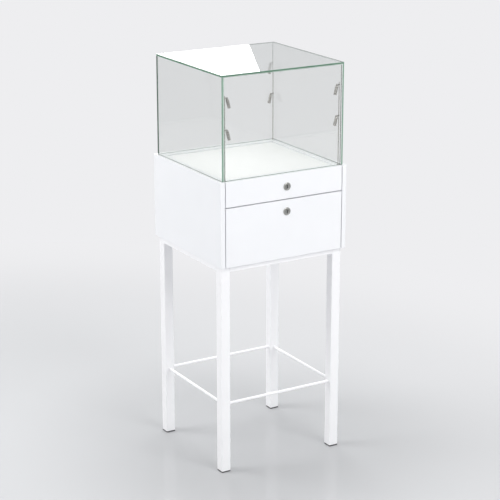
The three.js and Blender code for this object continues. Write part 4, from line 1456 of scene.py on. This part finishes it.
@dataclass
class LampPole(SubAssembly):
    """A thin pole in a corner of the deck, with two small spotlights. Millimetres."""

    corner: Corner
    radius: float = 1.5
    collar_radius: float = 2.8
    foot_gap: float = 0.25
    arm_reach: float = 8.5
    arm_heights: Pair = (172.0, 280.0)
    arm_thickness: float = 3.0
    arm_root: Pair = (2.6, 2.0)
    eye_radius: float = 3.0
    pin_hole: float = 1.2
    lean: float = 14.0
    spot_radius: float = 5.5
    spot_length: float = 30.0
    neck: float = 5.0
    fins: int = 5
    fin_pitch: float = 2.0
    ear: float = 1.25
    ear_gap: float = 0.3
    ear_ease: float = 0.2
    arm_ease: float = 0.3
    rod_segments: int = 40
    spot_segments: int = 48
    pin_segments: int = 24

    def build(self) -> None:
        """Makes the pole with its arms, and both spotlights."""
        low, high = box_mm(f"lamp_pole_{self.corner}")
        self.side = 1 if self.corner is Corner.FRONT_LEFT else -1
        self.x = low.x + self.collar_radius if self.side > 0 else high.x - self.collar_radius
        self.y = (low.y + high.y) / 2
        self.deck = box_mm("deck_tray")[1].z
        self.pole(low.z, high.z)
        for level, height in zip(LEVELS, self.arm_heights):
            self.spotlight(level, self.deck + height)

    def pole(self, bottom: float, tip: float) -> None:
        """Makes the rod with its foot collar, the two clamping collars and the arms.

        Args:
            bottom: The height of its lower end.
            tip: The height of its upper end.
        """
        name, body = str(self.corner), f"pole_{self.corner}"
        foot, radius, collar = self.deck + self.foot_gap, self.radius, self.collar_radius
        rod = [(0, bottom), (radius, bottom), (radius, foot), (collar, foot), (collar, foot + 1.3)]
        rod += [(collar - 0.5, foot + 1.8), (radius, foot + 2.0)]
        for height in self.arm_heights:
            low, high = self.deck + height - collar, self.deck + height + collar
            rod += [(radius, low + 0.3), (collar - 0.4, low), (collar, low + 0.4)]
            rod += [(collar, high - 0.4), (collar - 0.4, high), (radius, high - 0.3)]
        rod += [(radius, tip - 1), (radius - 0.4, tip - 0.3), (radius - 1.0, tip), (0, tip)]
        shape = lathe(rod, self.rod_segments, placed(self.x, self.y, 0))
        self.put(shape, body, body, ANODISED, f"lamp_pole_{name}")
        root_x, root_half = self.arm_root
        root = math.degrees(math.asin(root_half / self.eye_radius))
        eye = arc(self.arm_reach, 0, self.eye_radius, 180 + root, 540 - root, 30)
        outline = [(root_x, -root_half), *eye, (root_x, root_half)]
        if self.side < 0:
            outline = [(-x, y) for x, y in reversed(outline)]
        hole = circle(self.pin_hole, self.pin_segments, self.side * self.arm_reach)
        for level, height in zip(LEVELS, self.arm_heights):
            place = placed(self.x, self.y, self.deck + height, Way.FRONT)
            arm = plate((outline, hole), self.arm_thickness, self.arm_ease, place)
            self.put(arm, f"{body}_arm_{level}", body, ANODISED)

    def spotlight(self, level: str, height: float) -> None:
        """Makes one spotlight at its lean: the finned body with its bezel, the fork, the pin and the lens.

        Args:
            level: "low" or "high".
            height: The height of its pin.
        """
        name, body = f"spotlight_{self.corner}_{level}", f"spot_{self.corner}_{level}"
        turn = Matrix.Rotation(math.radians(-self.side * self.lean), 4, "Y")
        place = placed(self.x + self.side * self.arm_reach, self.y, height) @ turn
        top, end, radius = -self.neck, -self.neck - self.spot_length, self.spot_radius
        profile = [(0, end + 2.6), (radius - 1.3, end + 2.6), (radius - 1.0, end + 0.1), (radius - 0.8, end)]
        profile += [(radius - 0.3, end), (radius, end + 0.4), (radius, end + 4.0), (radius - 0.25, end + 4.2)]
        profile += [(radius - 0.25, end + 4.6), (radius, end + 4.8)]
        for k in range(self.fins):
            z = top - 4 - self.fin_pitch * (self.fins - k)
            profile += [(radius, z), (radius - 0.9, z + 0.15), (radius - 0.9, z + 0.95), (radius, z + 1.1)]
        profile += [(radius, top - 1.0), (radius - 0.3, top - 0.3), (radius - 1.0, top), (0, top)]
        self.put(lathe(profile, self.spot_segments, place), name, body, ANODISED, body)
        outline = arc(0, 0, self.eye_radius, 0, 180, 24)
        outline += [(-self.eye_radius, top - 0.8), (self.eye_radius, top - 0.8)]
        gap = self.arm_thickness / 2 + self.ear_gap
        for label, sign in (("near", -1), ("far", 1)):
            ear_place = place @ placed(0, sign * (gap + self.ear / 2), 0, Way.FRONT)
            self.put(plate((outline,), self.ear, self.ear_ease, ear_place), f"{name}_fork_{label}", body, ANODISED)
        reach = gap + self.ear
        half = [(1.0, reach), (1.8, reach), (1.4, reach + 0.5), (0, reach + 0.6)]
        both = [(r, -h) for r, h in reversed(half)] + half
        pin = lathe(both, self.pin_segments, place @ placed(0, 0, 0, Way.BACK))
        self.put(pin, f"{name}_pin", body, STAMPED)
        rim = radius - 1.35
        dish = [(0, end + 1.1), (2.2, end + 1.2), (rim, end + 1.6), (rim, end + 2.5), (0, end + 2.5)]
        self.put(lathe(dish, self.rod_segments, place), f"{name}_lens", body, LENS)


# -------------------------------------------------------------------------------------------- studio


@dataclass(frozen=True)
class Softbox:
    """A square lamp. Its middle lies across and beyond the case as the camera sees it, at a height, and it faces a
    height on the case's axis. Metres and watts."""

    name: str
    middle: Triple
    aim: float
    width: float
    power: float


@dataclass
class Studio:
    """The camera at the photograph's place, the pale floor, and the soft lamps."""

    camera_place: Triple = (-2.8653, -4.8527, 2.4521)
    yaw: float = 30.596
    pitch: float = 17.076
    lens: float = 119.17
    sensor: float = 36.0
    view_end: float = 200.0
    floor_half: float = 60.0
    floor_middle: Pair = (-1.0, -0.7)
    backdrop: str = "#EEEEF0"
    sky_strength: Pair = (1.07, 0.5)
    # Painted shadow: a darker grey painted on the floor round the case.
    floor_painted_shadow: str = "#B8B9BB"
    floor_near: str = "#CACBCD"
    floor_far: str = "#F2F2F4"
    # Painted reflections: the floor and the wall are painted darker where they are seen mirrored and not through
    # glass.
    floor_mirrored: str = "#9FA4A5"
    wall_mirrored: str = "#D3D5D7"
    # Painted shadow: the distances from the case over which the darker grey fades out.
    painted_shadow_fade: Pair = (0.25, 1.0)
    floor_fade: Pair = (2.4, 4.6)
    backdrop_fade: Pair = (1.5, 3.2)
    floor_roughness: float = 0.05
    floor_ior: float = 1.45
    softboxes: tuple[Softbox, ...] = (
        Softbox("front_softbox", (2.8, -3.4, 3.7), 0.6, 2.8, 110),
        Softbox("side_softbox", (-4.4, 0.0, 3.9), 0.6, 2.8, 120),
        Softbox("back_softbox", (0.0, 1.8, 4.4), 0.6, 2.4, 46),
    )
    card: Softbox = Softbox("reflector_card", (-0.44, 2.0, 1.967), 1.967, 1.0, 10)
    card_roll: float = 22.0

    def build(self) -> None:
        """Makes the camera, floor, sky and lamps."""
        self.camera()
        self.floor()
        self.world()
        for softbox in self.softboxes:
            self.lamp(softbox)
        card = self.lamp(self.card)
        # The card stands upright and square to the camera's line, and shows only where the panes mirror it.
        card.rotation_euler = (math.radians(-90), math.radians(self.card_roll), math.radians(-self.yaw))
        card.visible_camera = False
        card.visible_transmission = False

    def beside_view(self, across: float, beyond: float, height: float = 0.0) -> Triple:
        """Gives the point that lies across and beyond the case as the camera sees it, in metres."""
        cos, sin = math.cos(math.radians(self.yaw)), math.sin(math.radians(self.yaw))
        return (across * cos + beyond * sin, beyond * cos - across * sin, height)

    def camera(self) -> None:
        """Puts the camera where the photograph was taken."""
        data = bpy.data.cameras.new("camera")
        data.lens = self.lens
        data.sensor_width = self.sensor
        data.clip_end = self.view_end
        camera = link("camera", data)
        camera.location = self.camera_place
        camera.rotation_euler = (math.radians(90 - self.pitch), 0, math.radians(-self.yaw))
        bpy.context.scene.camera = camera

    def floor(self) -> None:
        """Lays the pale, slightly glossy floor. Round the case it is painted darker as the case's shadow, in
        reflections it shows a darker painted colour, and away from the case it turns into an even backdrop.
        """
        shape = bmesh.new()
        bmesh.ops.create_grid(shape, x_segments=1, y_segments=1, size=self.floor_half)
        mesh = bpy.data.meshes.new("studio_floor")
        shape.to_mesh(mesh)
        shape.free()
        floor = link("studio_floor", mesh)
        paint = bpy.data.materials.new("studio_paint")
        paint.use_nodes = True
        tree = paint.node_tree
        tree.nodes.clear()
        place = add_node(tree, "ShaderNodeTexCoord").outputs["Object"]
        ends = {0: place, 1: self.beside_view(*self.floor_middle)}
        away = add_node(tree, "ShaderNodeVectorMath", ends, operation="DISTANCE").outputs["Value"]
        middle = add_node(tree, "ShaderNodeVectorMath", {0: place}, operation="LENGTH").outputs["Value"]
        # beyond fades out the painted shadow round the case, share fades the floor to its far colour, and even brings
        # in the backdrop.
        beyond, share, even = (
            add_node(
                tree,
                "ShaderNodeMapRange",
                {"Value": distance, "From Min": start, "From Max": end},
                interpolation_type="SMOOTHSTEP",
            )
            for distance, (start, end) in (
                (middle, self.painted_shadow_fade),
                (away, self.floor_fade),
                (away, self.backdrop_fade),
            )
        )
        paths = add_node(tree, "ShaderNodeLightPath").outputs
        # Painted reflection: the floor takes a darker colour where it is seen mirrored.
        mirrored = self.mirrored_only(tree, paths)
        # The floor starts as the painted shadow round the case, then fades to its near and far colours, and to the
        # painted reflection.
        colour = srgb(self.floor_painted_shadow)
        for fade, other in ((beyond, self.floor_near), (share, self.floor_far), (mirrored, self.floor_mirrored)):
            mix = add_node(tree, "ShaderNodeMix", {0: fade, 6: colour, 7: srgb(other)}, data_type="RGBA")
            colour = mix.outputs[2]
        gloss = {"Base Color": colour, "Roughness": self.floor_roughness, "IOR": self.floor_ior}
        shader = add_node(tree, "ShaderNodeBsdfPrincipled", gloss)
        backdrop = add_node(tree, "ShaderNodeEmission", {"Color": srgb(self.backdrop), "Strength": 1.0})
        rays = {0: paths["Is Camera Ray"], 1: paths["Is Transmission Ray"]}
        looked_at = add_node(tree, "ShaderNodeMath", rays, operation="MAXIMUM")
        shown = add_node(tree, "ShaderNodeMath", {0: looked_at, 1: even}, operation="MULTIPLY")
        mixed = add_node(tree, "ShaderNodeMixShader", {0: shown, 1: shader, 2: backdrop})
        add_node(tree, "ShaderNodeOutputMaterial", {"Surface": mixed})
        mesh.materials.append(paint)

    def mirrored_only(self, tree: Tree, paths: Given) -> Node:
        """Gives 1 where a surface is seen mirrored and not through glass: the mask of the painted reflections."""
        rays = {0: paths["Is Glossy Ray"], 1: paths["Is Transmission Ray"]}
        return add_node(tree, "ShaderNodeMath", rays, operation="SUBTRACT", use_clamp=True)

    def world(self) -> None:
        """Lights the case evenly from all round, a little more from low down, and shows a pale wall behind it. In
        reflections the wall shows a darker painted colour, as a painted reflection.
        """
        world = bpy.data.worlds.new("studio")
        bpy.context.scene.world = world
        world.use_nodes = True
        tree = world.node_tree
        tree.nodes.clear()
        place = add_node(tree, "ShaderNodeTexCoord").outputs["Generated"]
        height = add_node(tree, "ShaderNodeSeparateXYZ", {0: place}).outputs["Z"]
        low, high = self.sky_strength
        strength = add_node(tree, "ShaderNodeMapRange", {"Value": height, "To Min": low, "To Max": high})
        light = add_node(tree, "ShaderNodeBackground", {"Color": (1, 1, 1, 1), "Strength": strength})
        paths = add_node(tree, "ShaderNodeLightPath").outputs
        # Painted reflection: the wall takes a darker colour where it is seen mirrored.
        mirrored = self.mirrored_only(tree, paths)
        colours = {0: mirrored, 6: srgb(self.backdrop), 7: srgb(self.wall_mirrored)}
        paint = add_node(tree, "ShaderNodeMix", colours, data_type="RGBA").outputs[2]
        wall = add_node(tree, "ShaderNodeBackground", {"Color": paint, "Strength": 1.0})
        looked_at = paths["Is Camera Ray"]
        for kind in ("Is Glossy Ray", "Is Transmission Ray"):
            looked_at = add_node(tree, "ShaderNodeMath", {0: looked_at, 1: paths[kind]}, operation="MAXIMUM")
        mixed = add_node(tree, "ShaderNodeMixShader", {0: looked_at, 1: light, 2: wall})
        add_node(tree, "ShaderNodeOutputWorld", {"Surface": mixed})

    def lamp(self, softbox: Softbox) -> Object:
        """Hangs a softbox.

        Args:
            softbox: The softbox.

        Returns:
            The lamp.
        """
        data = bpy.data.lights.new(softbox.name, "AREA")
        data.shape = "RECTANGLE"
        data.size = data.size_y = softbox.width
        data.energy = softbox.power
        lamp = link(softbox.name, data)
        lamp.location = self.beside_view(*softbox.middle)
        lamp.rotation_euler = (Vector((0, 0, softbox.aim)) - lamp.location).to_track_quat("-Z", "Y").to_euler()
        return lamp


def main() -> None:
    """Builds the studio and each sub-assembly."""
    logging.basicConfig(level=logging.INFO, format="%(name)s: %(message)s")
    bpy.context.scene.view_settings.view_transform = "Standard"
    Studio().build()
    assemblies: list[SubAssembly] = [LegFrame(), Cabinet(), Driver(), GlassCase(), Deck(), Drawer()]
    assemblies.append(CamLock("deck", Body.DECK, Body.DECK_LOCK))
    assemblies.append(CamLock("drawer", Body.DRAWER, Body.DRAWER_LOCK))
    assemblies += [LampPole(corner) for corner in Corner]
    for assembly in assemblies:
        LOG.info("building %s", type(assembly).__name__)
        assembly.build()


if __name__ == "__main__":
    main()
